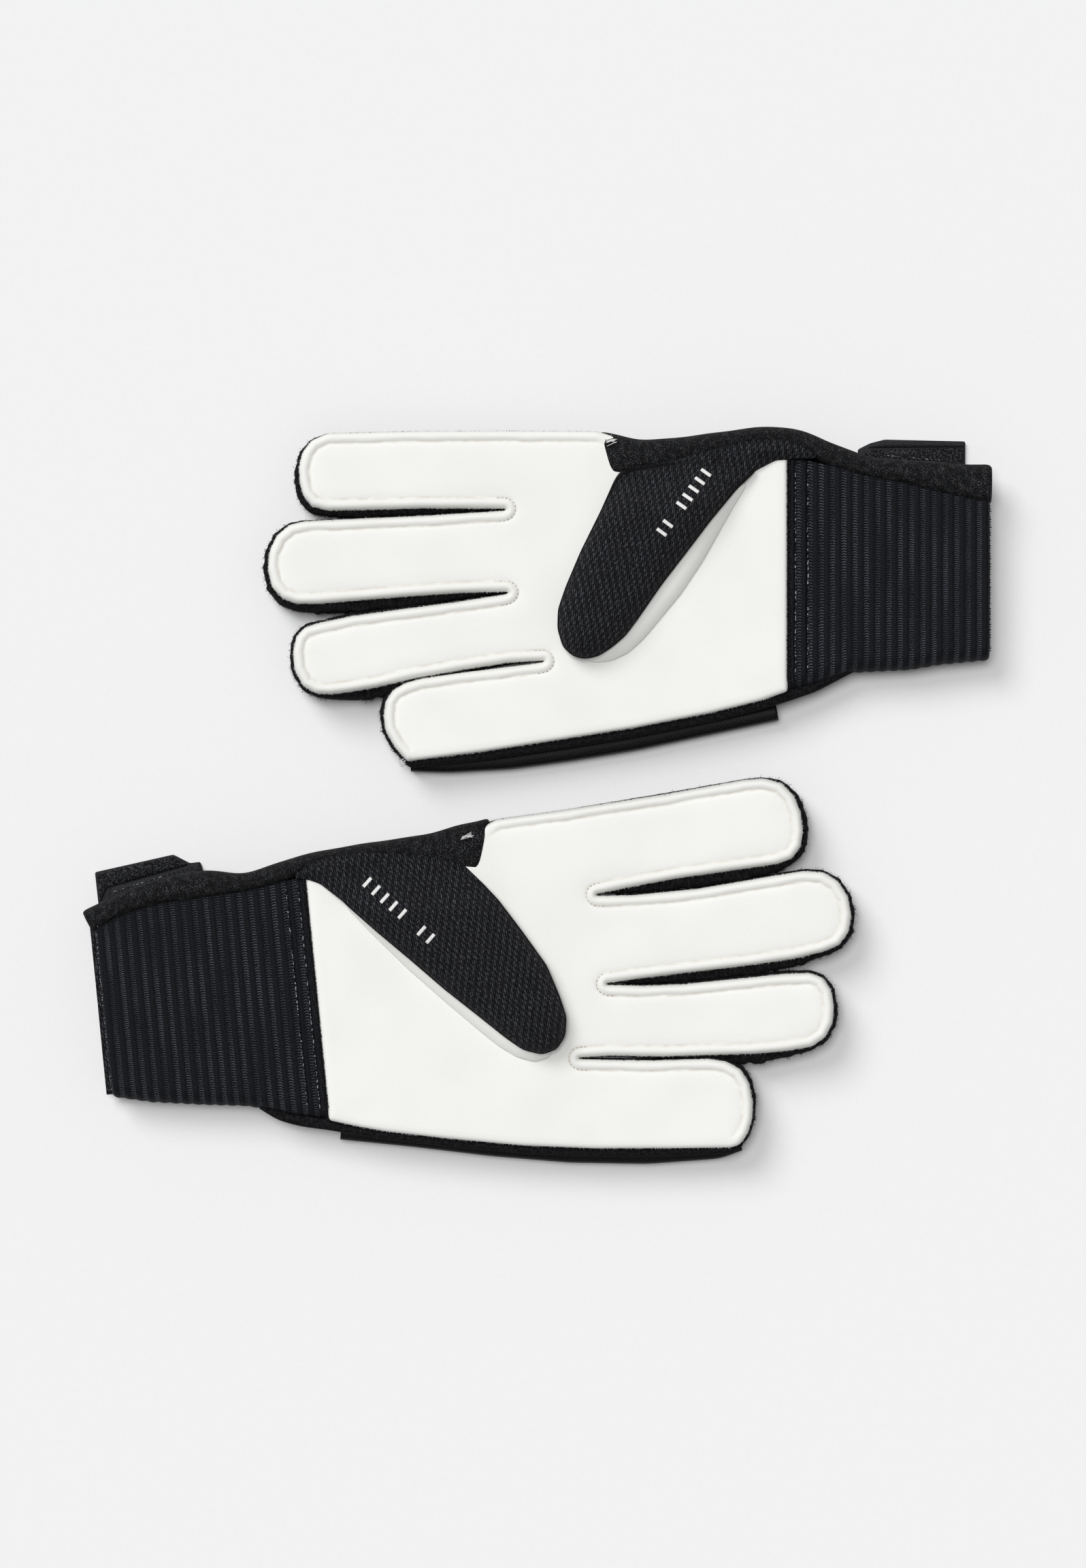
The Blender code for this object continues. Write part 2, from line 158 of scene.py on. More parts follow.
class Tree:
    """Short calls for shader nodes."""

    def __init__(self, tree):
        self.tree = tree

    def add(self, kind, settings=None, **inputs):
        """A new node with its settings and inputs; an input is named, or i0, i1 by its place."""
        node = self.tree.nodes.new(kind)
        for key, value in (settings or {}).items():
            setattr(node, key, value)
        for key, value in inputs.items():
            self.feed(node.inputs[int(key[1])] if key in ("i0", "i1") else node.inputs[key], value)
        return node

    def feed(self, socket, value):
        """Links a value to the socket, or sets the socket to a plain number or vector."""
        if isinstance(value, Value):
            self.tree.links.new(value.socket, socket)
        else:
            socket.default_value = value

    def attribute(self, name):
        node = self.add("ShaderNodeAttribute", {"attribute_name": name})
        return Value(self, node.outputs["Vector" if name == "lay" else "Fac"])

    def math(self, operation, a, b=0.0):
        return Value(self, self.add("ShaderNodeMath", {"operation": operation}, i0=a, i1=b).outputs[0])

    def turned(self, vector, degrees, scale=(1, 1, 1)):
        turn = (0, 0, np.radians(degrees))
        node = self.add("ShaderNodeMapping", None, Vector=vector, Rotation=turn, Scale=scale)
        return Value(self, node.outputs[0])

    def noise(self, vector, scale, detail):
        node = self.add("ShaderNodeTexNoise", None, Vector=vector, Scale=scale, Detail=detail)
        return Value(self, node.outputs["Fac"])

    def split(self, vector):
        node = self.add("ShaderNodeSeparateXYZ", None, Vector=vector)
        return Value(self, node.outputs[0]), Value(self, node.outputs[1])

    def mix(self, factor, a, b):
        node = self.add("ShaderNodeMix", {"data_type": "RGBA"}, Factor=factor)
        for socket, value in ((node.inputs[6], a), (node.inputs[7], b)):
            self.feed(socket, value if isinstance(value, Value) else (*value, 1.0))
        return Value(self, node.outputs[2])


def new_cloth(name, pattern, roughness, bump, depth):
    """A cloth material. pattern(tree) returns a colour and a height between 0 and 1."""
    material = bpy.data.materials.new(name)
    material.use_nodes = True
    group = bpy.data.node_groups.new(f"{name}_pattern", "ShaderNodeTree")
    group.interface.new_socket("Color", in_out="OUTPUT", socket_type="NodeSocketColor")
    group.interface.new_socket("Height", in_out="OUTPUT", socket_type="NodeSocketFloat")
    inner, tree = Tree(group), Tree(material.node_tree)
    out = inner.add("NodeGroupOutput")
    for socket, value in zip(out.inputs, pattern(inner)):
        inner.feed(socket, value)
    look = tree.add("ShaderNodeGroup", {"node_tree": group})
    colour, height = (Value(tree, look.outputs[k]) for k in (0, 1))
    bumped = tree.add("ShaderNodeBump", None, Strength=bump, Distance=depth * 0.001, Height=height)
    shader = material.node_tree.nodes["Principled BSDF"]
    for key, value in (("Base Color", colour), ("Normal", Value(tree, bumped.outputs[0])),
                       ("Roughness", roughness), ("Specular IOR Level", 0.15)):
        tree.feed(shader.inputs[key], value)
    return material


def latex_pattern(t):
    """Foam: a fine grain and soft patches, with painted shade over the rolled border, patchy brownish
    painted shade in the groove beside it, and a grey cut edge.
    """
    lay, edge, puff = t.attribute("lay"), t.attribute("edge"), t.attribute("puff")
    grain = t.noise(lay, 3.5, 4.0)
    colour = t.mix(t.noise(lay, 0.05, 1.0).step(0.3, 0.7), (0.845, 0.845, 0.82), (0.87, 0.87, 0.85))
    colour = t.mix(grain.step(0.35, 0.65) * 0.14, colour, (0.70, 0.69, 0.64))
    # painted shade: the rolled border is a little darker and creamier than the middle
    colour = t.mix(edge.step(2.9, 3.4, 1.0, 0.0) * puff * 0.5, colour, (0.79, 0.785, 0.75))
    # painted shade in the groove beside the roll: brownish, and stronger in some patches than in others
    groove = abs(edge - GROOVE).step(0.1, 0.75, 1.0, 0.0) * puff
    patch = t.noise(lay, 0.35, 2.0).step(0.3, 0.7, 0.25, 1.0)
    colour = t.mix(groove * patch * 0.42, colour, (0.55, 0.50, 0.38))
    colour = t.mix(edge.step(-0.6, 0.5, 1.0, 0.0) * 0.30, colour, (0.45, 0.44, 0.42))
    return t.mix(t.noise(lay, 1.7, 1.0).step(0.76, 0.80) * 0.2, colour, (0.62, 0.60, 0.52)), grain


def knit_pattern(t):
    """Spacer mesh: short upright stitches in cells on a slanting lattice, with small dark holes."""
    lay = t.attribute("lay")
    u, v = t.split(t.turned(lay, 8))
    drift = (t.noise(lay, 0.5, 1.0) - 0.5) * 3.0
    cells = (v * 0.55 + u).wave(2.15, drift) * v.wave(3.5)
    stitch = (u + v * 0.25).wave(0.72)
    fibre = t.noise(t.turned(lay, 8, (3.0, 1.1, 1.0)), 1.3, 4.0)
    height = cells * 0.24 + stitch * 0.17 + 0.45 + (fibre - 0.5) * 1.8
    base = t.mix(height.step(0.05, 0.5), (0.0015, 0.0015, 0.0020), (0.0105, 0.0108, 0.0130))
    return t.mix(height.step(0.52, 0.96), base, (0.090, 0.093, 0.105)), height


def melange_pattern(t):
    """Brushed knit: fine light flecks on black."""
    lay = t.attribute("lay")
    height = t.noise(t.turned(lay, 20, (1.0, 2.2, 1.0)), 2.1, 4.0) * 0.9 + t.noise(lay, 0.5, 2.0) * 0.25
    base = t.mix(height.step(0.4, 0.62), (0.0010, 0.0010, 0.0013), (0.0050, 0.0051, 0.0060))
    return t.mix(height.step(0.60, 0.78), base, (0.110, 0.112, 0.118)), height


def fleece_pattern(t):
    """Brushed pile that lies in small clumps."""
    lay = t.attribute("lay")
    height = t.noise(lay, 4.0, 4.0) * 0.6 + t.noise(lay, 0.9, 2.0) * 0.5
    return t.mix(height.step(0.45, 0.8), (0.0022, 0.0022, 0.0026), (0.024, 0.024, 0.027)), height


def overlay_pattern(t):
    """A coated cloth whose fine weave just shows."""
    lay = t.attribute("lay")
    u, v = t.split(lay)
    height = u.wave(1.1) * v.wave(1.1) * 0.3 + t.noise(lay, 1.5, 3.0) * 0.7
    return t.mix(height.step(0.3, 0.75), (0.003, 0.003, 0.0036), (0.022, 0.022, 0.025)), height


def ribbed_pattern(t):
    """Each rib is a column of bead-like loops beside a wider smooth dark band, with painted shade down each
    side of the column.
    """
    lay = t.attribute("lay")
    u, v = t.split(lay)
    phase = t.math("FRACT", u / RIB) - 0.5
    column = abs(phase).step(0.15, 0.27, 1.0, 0.0)
    beads = v.wave(0.80, abs(phase) * 9.0)
    grain = t.noise(lay, 2.0, 3.0)
    thread = v.wave(0.55, phase * 8.0).step(-0.4, 1.0) * grain.step(0.35, 0.7)
    dim = t.mix(thread, (0.0016, 0.0018, 0.0030), (0.0150, 0.0170, 0.0240))
    # painted shade: a near-black line down each side of the bead column, where the rib's groove lies
    sides = (phase - 0.22).step(0.0, 0.10, 0.35, 1.0), (phase + 0.30).step(0.0, 0.08, 1.0, 0.35)
    dim = t.mix(t.math("MAXIMUM", *sides), (0.0008, 0.0009, 0.0014), dim)
    # the bead columns are brighter in long patches along the rib and dimmer between them
    brightness_patches = t.noise(t.turned(lay, 0, (1.0, 0.25, 1.0)), 0.14, 2.0).step(0.35, 0.65, 0.45, 1.0)
    lit = column * beads.step(-0.6, 0.7) * grain.step(0.28, 0.58) * brightness_patches
    return t.mix(lit, dim, (0.078, 0.083, 0.102)), beads * column * 0.45 + grain * 0.6


def webbing_pattern(t):
    """A plain weave of thick dark threads."""
    lay = t.attribute("lay")
    u, v = t.split(lay)
    height = u.wave(0.9) * v.wave(0.7) * 0.4 + t.noise(lay, 2.5, 3.0)
    return t.mix(height.step(0.3, 0.9), (0.004, 0.004, 0.005), (0.040, 0.041, 0.048)), height


def flecked(scale, detail, low, high, dark, light):
    """A pattern of a single noise: dark where it is below low, light where it is above high."""
    def pattern(t):
        grain = t.noise(t.attribute("lay"), scale, detail)
        return t.mix(grain.step(low, high), dark, light), grain
    return pattern


pile_pattern = flecked(1.5, 4.0, 0.42, 0.66, (0.003, 0.003, 0.004), (0.040, 0.041, 0.045))
# thread: black, with light flecks that are painted glints
thread_and_glint_pattern = flecked(1.1, 2.0, 0.49, 0.63, (0.008, 0.009, 0.013), (0.34, 0.35, 0.38))
white_pattern = flecked(3.0, 3.0, 0.3, 0.7, (0.62, 0.62, 0.61), (0.86, 0.86, 0.85))

LATEX = new_cloth("latex_foam", latex_pattern, 0.7, 0.22, 0.12)
KNIT = new_cloth("spacer_knit", knit_pattern, 0.8, 0.9, 0.45)
MELANGE = new_cloth("brushed_knit", melange_pattern, 0.85, 0.9, 0.4)
FLEECE = new_cloth("black_fleece", fleece_pattern, 1.0, 0.8, 0.5)
OVERLAY = new_cloth("coated_overlay", overlay_pattern, 0.5, 0.5, 0.2)
RIBBED = new_cloth("ribbed_elastic", ribbed_pattern, 0.75, 0.8, 0.35)
WEBBING = new_cloth("strap_webbing", webbing_pattern, 0.6, 0.5, 0.2)
PILE = new_cloth("hook_and_loop", pile_pattern, 0.9, 0.8, 0.4)
THREAD = new_cloth("sewing_thread", thread_and_glint_pattern, 0.45, 0.3, 0.1)
WHITE = new_cloth("white_print_and_thread", white_pattern, 0.6, 0.3, 0.1)

# ---- the hand: latex, gusset, back
# The front is a sheet of foamed latex, cut flat to the hand's outline; its edge is rolled over
# and sewn, so it puffs up and leaves a groove 3.4 mm in. A wall of brushed black fleece joins
# it to the padded knit back that lies on the table.
FINE = 0.1  # millimetres between the points of a line while it is smoothed
TURN = 7.0  # degrees that a line may turn between two points
BASE = -9.0  # marks the underside points of a panel, where a distance is expected
BATCH = 1500


def run_of(path):
    """The distance run along a path at each of its points."""
    return np.concatenate([[0], np.cumsum(np.linalg.norm(np.diff(path, axis=0), axis=1))])


def along_line(at, run, rows):
    """The columns of rows, interpolated at the given distances along the run."""
    return np.stack([np.interp(at, run, c) for c in rows.T], -1)


def raised(xy, z):
    """Plan points at a height, or at one height each."""
    return np.column_stack([xy, np.broadcast_to(z, len(xy))])


def blur(rows, width, reach):
    """Rows smoothed by a Gaussian of the given width in rows, mirrored through both ends."""
    weights = np.exp(-0.5 * (np.arange(-reach, reach + 1) / width) ** 2)
    long = np.vstack([2 * rows[:1] - rows[reach:0:-1], rows, 2 * rows[-1:] - rows[-2:-reach - 2:-1]])
    return np.stack([np.convolve(c, weights / weights.sum(), "valid") for c in long.T], -1)


def flow(points, step, round_off, closed=True):
    """A smooth line through points, whose further columns run along with it.

    The polyline is resampled finely, smoothed with a Gaussian of width round_off, and resampled
    again so that a step is at most step long and turns at most TURN degrees. Returns the rows,
    then the outward normal of a line that runs anticlockwise."""
    p = np.asarray(points, float)
    if closed:
        p = np.vstack([p, p[:1]])
    run = run_of(p[:, :2])
    n = int(run[-1] / FINE)
    rows = along_line(np.linspace(0, run[-1], n, endpoint=not closed), run, p)
    if closed:
        fall = np.exp(-2 * (np.pi * np.fft.rfftfreq(n, FINE) * round_off) ** 2)
        rows = np.fft.irfft(np.fft.rfft(rows, axis=0) * fall[:, None], n, 0)
        d = np.roll(rows[:, :2], -1, 0) - np.roll(rows[:, :2], 1, 0)
    else:
        rows = blur(rows, round_off / FINE, int(round_off * 30))
        d = np.gradient(rows[:, :2], axis=0)
    angle = np.unwrap(np.arctan2(d[:, 1], d[:, 0]))
    bend = np.abs(np.diff(angle, append=angle[-1:]))
    measure = np.concatenate([[0], np.cumsum(FINE / step + np.degrees(bend) / TURN)])[:-1]
    at = np.linspace(0, measure[-1], max(int(measure[-1]), 4), endpoint=not closed)
    a = np.interp(at, measure, angle)
    return along_line(at, measure, rows), np.stack([np.sin(a), -np.cos(a)], -1)


def quads(n, m, wrap_n=False, wrap_m=False):
    """The quads of an n by m grid of points, wrapped round where asked."""
    i, j = np.meshgrid(np.arange(n - (not wrap_n)), np.arange(m - (not wrap_m)), indexing="ij")
    k, l = (i + 1) % n, (j + 1) % m
    return np.stack([i * m + j, k * m + j, k * m + l, i * m + l], -1).reshape(-1, 4)


def outward(points, faces):
    """The faces, turned over if the closed surface has them facing inward: the sum of the
    volumes between the origin and each triangle is negative then."""
    total = 0.0
    for f in faces:
        for k in range(1, f.shape[1] - 1):
            a, b, c = points[f[:, 0]], points[f[:, k]], points[f[:, k + 1]]
            total += np.einsum("ij,ij->i", a, np.cross(b, c)).sum()
    return [f[:, ::-1] for f in faces] if total < 0 else faces


def make(plan, name, cloth, points, faces, lay=None, extra=None):
    """A mesh object from plan points and face arrays. lay is the cloth's pattern coordinate of
    each point, the point itself unless given; extra holds further values for the material."""
    mesh = bpy.data.meshes.new(f"{plan.side}_{name}")
    mesh.from_pydata(plan.world(points).tolist(), [], [f for a in faces for f in a.tolist()])
    lay = np.asarray(points if lay is None else lay, np.float32)
    mesh.attributes.new("lay", "FLOAT_VECTOR", "POINT").data.foreach_set("vector", lay.ravel())
    for key, values in (extra or {}).items():
        layer = mesh.attributes.new(key, "FLOAT", "POINT")
        layer.data.foreach_set("value", np.asarray(values, np.float32))
    mesh.shade_smooth()
    mesh.materials.append(cloth)
    piece = bpy.data.objects.new(f"{plan.side}_{name}", mesh)
    bpy.context.scene.collection.objects.link(piece)
    return piece


def parts(plan, name, cloth, points, faces, owner, lay=None, extra=None):
    """Splits a surface at the finger roots; the palm's share goes with the palm's body, each finger's share
    stays where it is drawn.

    owner is the number in FINGERS of the finger that each point goes with. Returns the pieces by region."""
    made, regions = {}, []
    lay = points if lay is None else lay
    for f in faces:
        own = owner[f[:, 0]]
        regions.append(np.where(plan.past_root(points[f].mean(1), own), own, -1))
    for number, region in enumerate(("palm", *FINGERS), -1):
        share = [f[r == number] for f, r in zip(faces, regions)]
        used = np.unique(np.concatenate([f.ravel() for f in share]))
        if not len(used):
            continue
        index = np.full(len(points), -1)
        index[used] = np.arange(len(used))
        piece = make(plan, f"{region}_{name}", cloth, points[used], [index[f] for f in share if len(f)],
                     lay[used], {k: v[used] for k, v in (extra or {}).items()})
        if region == "palm":
            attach(piece, f"{plan.side}_palm")
        else:
            at, along = plan.knuckle[region]
            start, end = (plan.world([*(at + s * along), 12.0]) for s in BEND[region])
            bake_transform(piece)
        made[region] = piece
    return made


def apart(points, line):
    """Distance from each point to a closed line, and the number of the line's point near it."""
    near, which = np.empty(len(points)), np.empty(len(points), int)
    a, b = line, np.roll(line, -1, 0)
    for k in range(0, len(points), BATCH):
        p = points[k:k + BATCH, None, :]
        t = np.clip(((p - a) * (b - a)).sum(2) / np.maximum(((b - a) ** 2).sum(1), 1e-9), 0, 1)
        d = np.linalg.norm(p - (a + t[..., None] * (b - a)), axis=2)
        closest = d.argmin(1)
        past = np.round(t[np.arange(len(p)), closest]).astype(int)
        which[k:k + BATCH] = (closest + past) % len(line)
        near[k:k + BATCH] = d.min(1)
    return near, which


def inside(p, line):
    """Whether each point lies inside a closed line: an even-odd count of crossings."""
    a, b = line, np.roll(line, -1, 0)
    x, y = p[:, :1], p[:, 1:]
    crosses = (a[:, 1] > y) != (b[:, 1] > y)
    with np.errstate(all="ignore"):
        at = a[:, 0] + (y - a[:, 1]) * (b[:, 0] - a[:, 0]) / (b[:, 1] - a[:, 1])
    return (crosses & (x < at)).sum(1) % 2 == 1


def panel(plan, rows, normals, insets, spacing, top, rim):
    """A filled, closed panel inside a line.

    Points stand on the line, on rings drawn in from it by the insets where that is the true
    distance, and on a grid of the given spacing further in. top(points, distance, nearest)
    gives their heights; rim lists (outward, height) rings that go down its side to the base.
    Returns the points, the faces, each point's distance from the line (below 0 down the rim,
    BASE underneath) and the number of the line's point nearest to it."""
    line = rows[:, :2]
    rings = [line - i * normals for i in insets]
    rings = [r[(apart(r, line)[0] > i * 0.93 - 0.02) & inside(r, line)] for i, r in zip(insets, rings)]
    low, high = line.min(0), line.max(0)
    gx, gy = np.meshgrid(np.arange(low[0], high[0], spacing), np.arange(low[1], high[1], spacing * 0.87))
    gx = gx + (np.arange(gx.shape[0]) % 2 * spacing / 2)[:, None]
    grid = np.stack([gx.ravel(), gy.ravel()], -1)
    grid = grid[inside(grid, line)]
    grid = grid[apart(grid, line)[0] > insets[-1] + spacing * 0.45]
    flat = np.vstack([line, *rings, grid])
    n, count = len(flat), len(line)
    result = delaunay_2d_cdt(flat.tolist(), [], [list(range(count))], 1, 1e-7)
    back = np.array([o[0] if o else -1 for o in result[3]])
    tris = back[np.array(result[2])]
    tris = tris[(tris >= 0).all(1)]
    distance, nearest = apart(flat, line)
    distance[:count], nearest[:count] = 0, np.arange(count)
    sides = [raised(line + o * normals, h) for o, h in rim]
    upper, base = raised(flat, top(flat, distance, nearest)), raised(flat[count:], np.mean(rim[-1][1]))
    points = np.vstack([upper, *sides, base])
    levels = [np.arange(count) + start for start in (0, *(n + k * count for k in range(len(rim))))]
    walls = [np.stack([a, b, np.roll(b, -1), np.roll(a, -1)], -1) for a, b in zip(levels, levels[1:])]
    to_base = np.concatenate([levels[-1], n + len(rim) * count + np.arange(n - count)])
    faces = [tris, to_base[tris][:, ::-1], np.vstack(walls)]
    edge = np.concatenate([distance, np.repeat(-1.0 - np.arange(len(rim)), count), np.full(n - count, BASE)])
    near = np.concatenate([nearest, np.tile(np.arange(count), len(rim)), nearest[count:]])
    return points, outward(plan.world(points), faces), edge, near


def tube(plan, grid, ring=False):
    """A closed tube: grid[i, j] is point j round section i. ring joins the last section to the
    first, and otherwise both ends are capped. Its lay runs along it and round it."""
    n, m = grid.shape[:2]
    faces = [quads(n, m, ring, True)]
    if not ring:
        k = np.arange(m // 2 - 1)
        cap = np.stack([k, k + 1, m - 2 - k, m - 1 - k], -1)
        faces.append(np.vstack([cap, cap[:, ::-1] + (n - 1) * m]))
    points = grid.reshape(-1, 3)
    u, v = (np.concatenate([[0], np.cumsum(np.linalg.norm(np.diff(grid, axis=k), axis=2).mean(1 - k))])
            for k in (0, 1))
    lay = np.stack(np.broadcast_arrays(u[:, None], v[None, :], 0.0), -1)
    return points, outward(plan.world(points), faces), lay.reshape(-1, 3)


def slab(top, bottom):
    """The sections of a flat piece: along the top, and back along the bottom."""
    return np.concatenate([top, bottom[:, ::-1]], 1)


# Outlines of the white latex, anticlockwise in plan from the wrist seam along the little side.
# Columns: x, y, puff (1 where the edge is rolled over), fleece seen beyond it, back beyond it.
HAND = {
    "right": [
        (0.0, -37.3, 0, 2.0, 3.0), (8.6, -40.3, 0, 2.2, 4.5), (24.8, -44.3, 0, 2.4, 5.5),
        (50, -49.2, 0, 2.4, 6.0), (70, -52.4, 0, 2.4, 6.0), (99, -56.9, 0, 2.4, 5.0),
        (120.5, -59.6, 0, 2.0, 3.6), (122.8, -60.0, 0.5, 1.2, 1.6), (126.8, -55.6, 1, 1.2, 1.2),
        (129.9, -50.0, 1, 1.3, 1.4), (130.5, -45.4, 1, 1.4, 1.6), (129.9, -40.7, 1, 1.5, 1.6),
        (127.6, -37.1, 1, 1.3, 1.4), (123.5, -34.7, 1, 0.8, 0.8), (118, -33.2, 1, 0.4, 0.3),
        (105.4, -31.4, 1, 0.2, 0.1), (90, -29.5, 1, 0.1, 0.0), (78.6, -28.0, 1, 0.1, 0.0),
        (78.4, -27.3, 1, 0.1, 0.0), (90, -28.0, 1, 0.5, 0.3), (105.4, -30.4, 1, 0.9, 0.8),
        (121.5, -33.3, 1, 1.6, 1.6), (128, -34.9, 1, 3.4, 3.4), (134, -36.2, 1, 3.6, 3.8),
        (141, -37.4, 1, 2.5, 2.9), (148, -38.3, 1, 1.3, 1.7), (152.5, -38.0, 1, 1.2, 1.3),
        (156.5, -35.6, 1, 1.3, 1.4), (159.2, -30.6, 1, 1.4, 1.5), (159.8, -24.6, 1, 1.4, 1.5),
        (158.7, -19.6, 1, 1.3, 1.4), (155.8, -16.6, 1, 1.2, 1.2), (151, -15.2, 1, 1.0, 1.0),
        (141, -13.1, 1, 1.2, 1.0), (125, -10.9, 1, 1.0, 0.6), (108, -8.7, 1, 0.6, 0.3),
        (90.2, -5.9, 1, 0.1, 0.0), (90.0, -5.1, 1, 0.1, 0.0), (105, -5.4, 1, 1.9, 0.8),
        (120, -6.4, 1, 3.6, 1.8), (140, -8.0, 1, 3.9, 3.0), (152, -9.0, 1, 3.0, 2.9),
        (158.5, -9.0, 1, 2.2, 2.5), (163.3, -7.3, 1, 2.2, 2.5), (166.6, -3.6, 1, 2.0, 2.2),
        (167.9, 2.0, 1, 1.9, 2.1), (167.4, 8.0, 1, 1.7, 1.9), (165.0, 13.0, 1, 1.4, 1.5),
        (160.9, 16.4, 1, 1.0, 1.0), (156, 17.6, 1, 0.6, 0.5), (145.7, 18.1, 1, 0.5, 0.3),
        (118, 19.3, 1, 0.4, 0.2), (91.0, 21.0, 1, 0.1, 0.0), (90.8, 21.8, 1, 0.1, 0.0),
        (118, 21.9, 1, 2.2, 1.2), (140, 21.3, 1, 2.6, 1.8), (149, 21.2, 1, 1.7, 2.0),
        (153.6, 22.4, 1, 2.0, 2.2), (156.4, 25.7, 1, 2.2, 2.4), (157.6, 30.0, 1, 2.0, 2.2),
        (157.9, 35.0, 1, 1.6, 1.8), (156.8, 39.8, 1, 1.2, 1.4), (153.8, 43.7, 1, 0.8, 0.9),
        (148.5, 46.0, 1, 0.3, 0.3), (118, 46.7, 1, 0.1, 0.1), (90, 46.8, 1, 0.1, 0.1),
        (61.5, 46.6, 0.8, 0.1, 0.2), (57, 45.2, 0, 0.3, 0.8), (48, 42.6, 0, 0.6, 1.6),
        (24, 42.4, 0, 0.6, 3.6), (2, 41.4, 0, 0.3, 5.0), (0, 38.0, 0, 0.3, 3.0),
    ],
    "left": [
        (0.0, -38.8, 0, 2.0, 3.0), (9, -41.7, 0, 2.0, 3.5), (18, -44.2, 0, 2.2, 4.0),
        (38, -48.5, 0, 2.4, 5.0), (61.3, -53.0, 0, 2.4, 5.0), (84.7, -56.3, 0, 2.4, 5.0),
        (109.7, -58.7, 0, 2.4, 4.6), (128.5, -60.3, 0, 2.0, 3.0), (131.3, -59.6, 0.4, 1.4, 1.8),
        (134.0, -56.6, 1, 1.2, 1.4), (136.0, -52.0, 1, 1.2, 1.4), (136.8, -46.5, 1, 1.3, 1.5),
        (136.3, -40.4, 1, 1.4, 1.6), (134.0, -35.6, 1, 1.3, 1.4), (129.6, -32.6, 1, 0.9, 0.9),
        (123.8, -31.2, 1, 0.5, 0.3), (106.3, -30.0, 1, 0.2, 0.1), (92, -28.4, 1, 0.1, 0.0),
        (82.2, -27.2, 1, 0.1, 0.0), (82.0, -26.5, 1, 0.1, 0.0), (92, -26.9, 1, 0.6, 0.4),
        (109.7, -28.9, 1, 1.0, 0.9), (122, -29.7, 1, 1.6, 1.8), (130, -30.3, 1, 3.4, 3.6),
        (139, -30.9, 1, 3.6, 3.9), (149, -31.0, 1, 2.4, 2.9), (157.6, -30.4, 1, 1.6, 2.0),
        (162.2, -27.8, 1, 1.7, 1.9), (165.0, -23.4, 1, 1.7, 1.9), (165.9, -18.2, 1, 1.6, 1.8),
        (165.5, -12.8, 1, 1.4, 1.6), (163.3, -8.8, 1, 1.1, 1.2), (159.4, -6.8, 1, 0.8, 0.8),
        (151.3, -6.3, 1, 0.8, 0.6), (135, -6.4, 1, 0.8, 0.6), (118, -6.4, 1, 0.7, 0.4),
        (105, -5.6, 1, 0.4, 0.2), (93.4, -4.2, 1, 0.1, 0.0), (93.2, -3.5, 1, 0.1, 0.0),
        (105, -3.0, 1, 2.2, 1.0), (118, -2.7, 1, 3.4, 2.0), (140, -2.3, 1, 3.8, 2.6),
        (155, -1.6, 1, 2.8, 2.2), (164.4, -0.2, 1, 1.8, 2.2), (169.6, 1.4, 1, 1.8, 2.0),
        (173.0, 5.2, 1, 1.8, 2.0), (174.4, 10.6, 1, 1.6, 1.8), (173.9, 16.6, 1, 1.4, 1.6),
        (171.2, 21.8, 1, 1.2, 1.4), (166.8, 25.2, 1, 0.8, 0.9), (160.4, 26.2, 1, 0.6, 0.6),
        (151, 25.6, 1, 0.5, 0.4), (126, 23.8, 1, 0.4, 0.2), (105, 23.8, 1, 0.2, 0.1),
        (92.9, 24.8, 1, 0.1, 0.0), (92.8, 25.5, 1, 0.1, 0.0), (105, 26.7, 1, 2.4, 0.7),
        (118, 27.9, 1, 3.9, 1.4), (140, 28.9, 1, 4.3, 2.0), (152, 29.4, 1, 2.8, 2.0),
        (157.0, 30.6, 1, 1.8, 2.2), (160.2, 34.0, 1, 2.2, 2.5), (161.5, 39.0, 1, 2.1, 2.3),
        (161.4, 45.0, 1, 2.0, 2.2), (159.8, 50.6, 1, 1.6, 1.8), (156.2, 55.2, 1, 1.0, 1.1),
        (150.5, 57.3, 1, 0.5, 0.5), (144.0, 57.4, 1, 0.3, 0.3), (118, 55.3, 1, 0.4, 0.4),
        (84.7, 53.4, 1, 0.1, 0.2), (63.5, 52.6, 0.8, 0.1, 0.2), (58, 50.2, 0, 0.3, 1.4),
        (48, 46.8, 0, 0.6, 3.4), (24, 43.4, 0, 0.6, 4.8), (3, 42.4, 0, 0.3, 4.2), (0, 39.4, 0, 0.3, 3.0),
    ],
}
# The ends of the slits between index and middle, middle and ring, ring and little finger.
SLITS = {
    "right": [(91.0, 21.4), (90.0, -5.5), (78.4, -27.6)],
    "left": [(92.8, 25.1), (93.2, -3.8), (82.0, -26.8)],
}
# Height of the latex at each distance from its edge, where it is rolled over and where it isn't.
PUFF_D = (0, 0.3, 0.7, 1.1, 1.6, 2.1, 2.6, 3.0, 3.35, 3.7, 4.2, 5.0, 7.0)
PUFF_Z = (14.6, 15.6, 16.25, 16.6, 16.8, 16.75, 16.55, 16.3, 16.05, 16.15, 16.3, 16.42, 16.5)
PLAIN_Z = (15.0, 15.7, 16.1, 16.3, 16.4, 16.45, 16.5, 16.5, 16.5, 16.5, 16.5, 16.5, 16.5)
# Waves along the outline: how high, how many, and where they start.
WAVER = ((0.10, 37, 1), (0.08, 61, 2), (0.06, 97, 4))
BUMPS = ((1, 83, 2), (1, 131, 5), (1, 217, 1), (1, 331, 3))
# The gusset's section: how far out, as a share of the fleece seen or inward if negative; height.
GUSSET = [(-1.4, 12.2), (0.05, 12.7), (0.6, 12.5), (0.9, 11.4), (1.0, 9.4), (1.0, 7.2), (0.9, 5.2),
          (0.65, 3.6), (0.2, 2.9), (-1.4, 3.4), (-1.7, 8.0)]

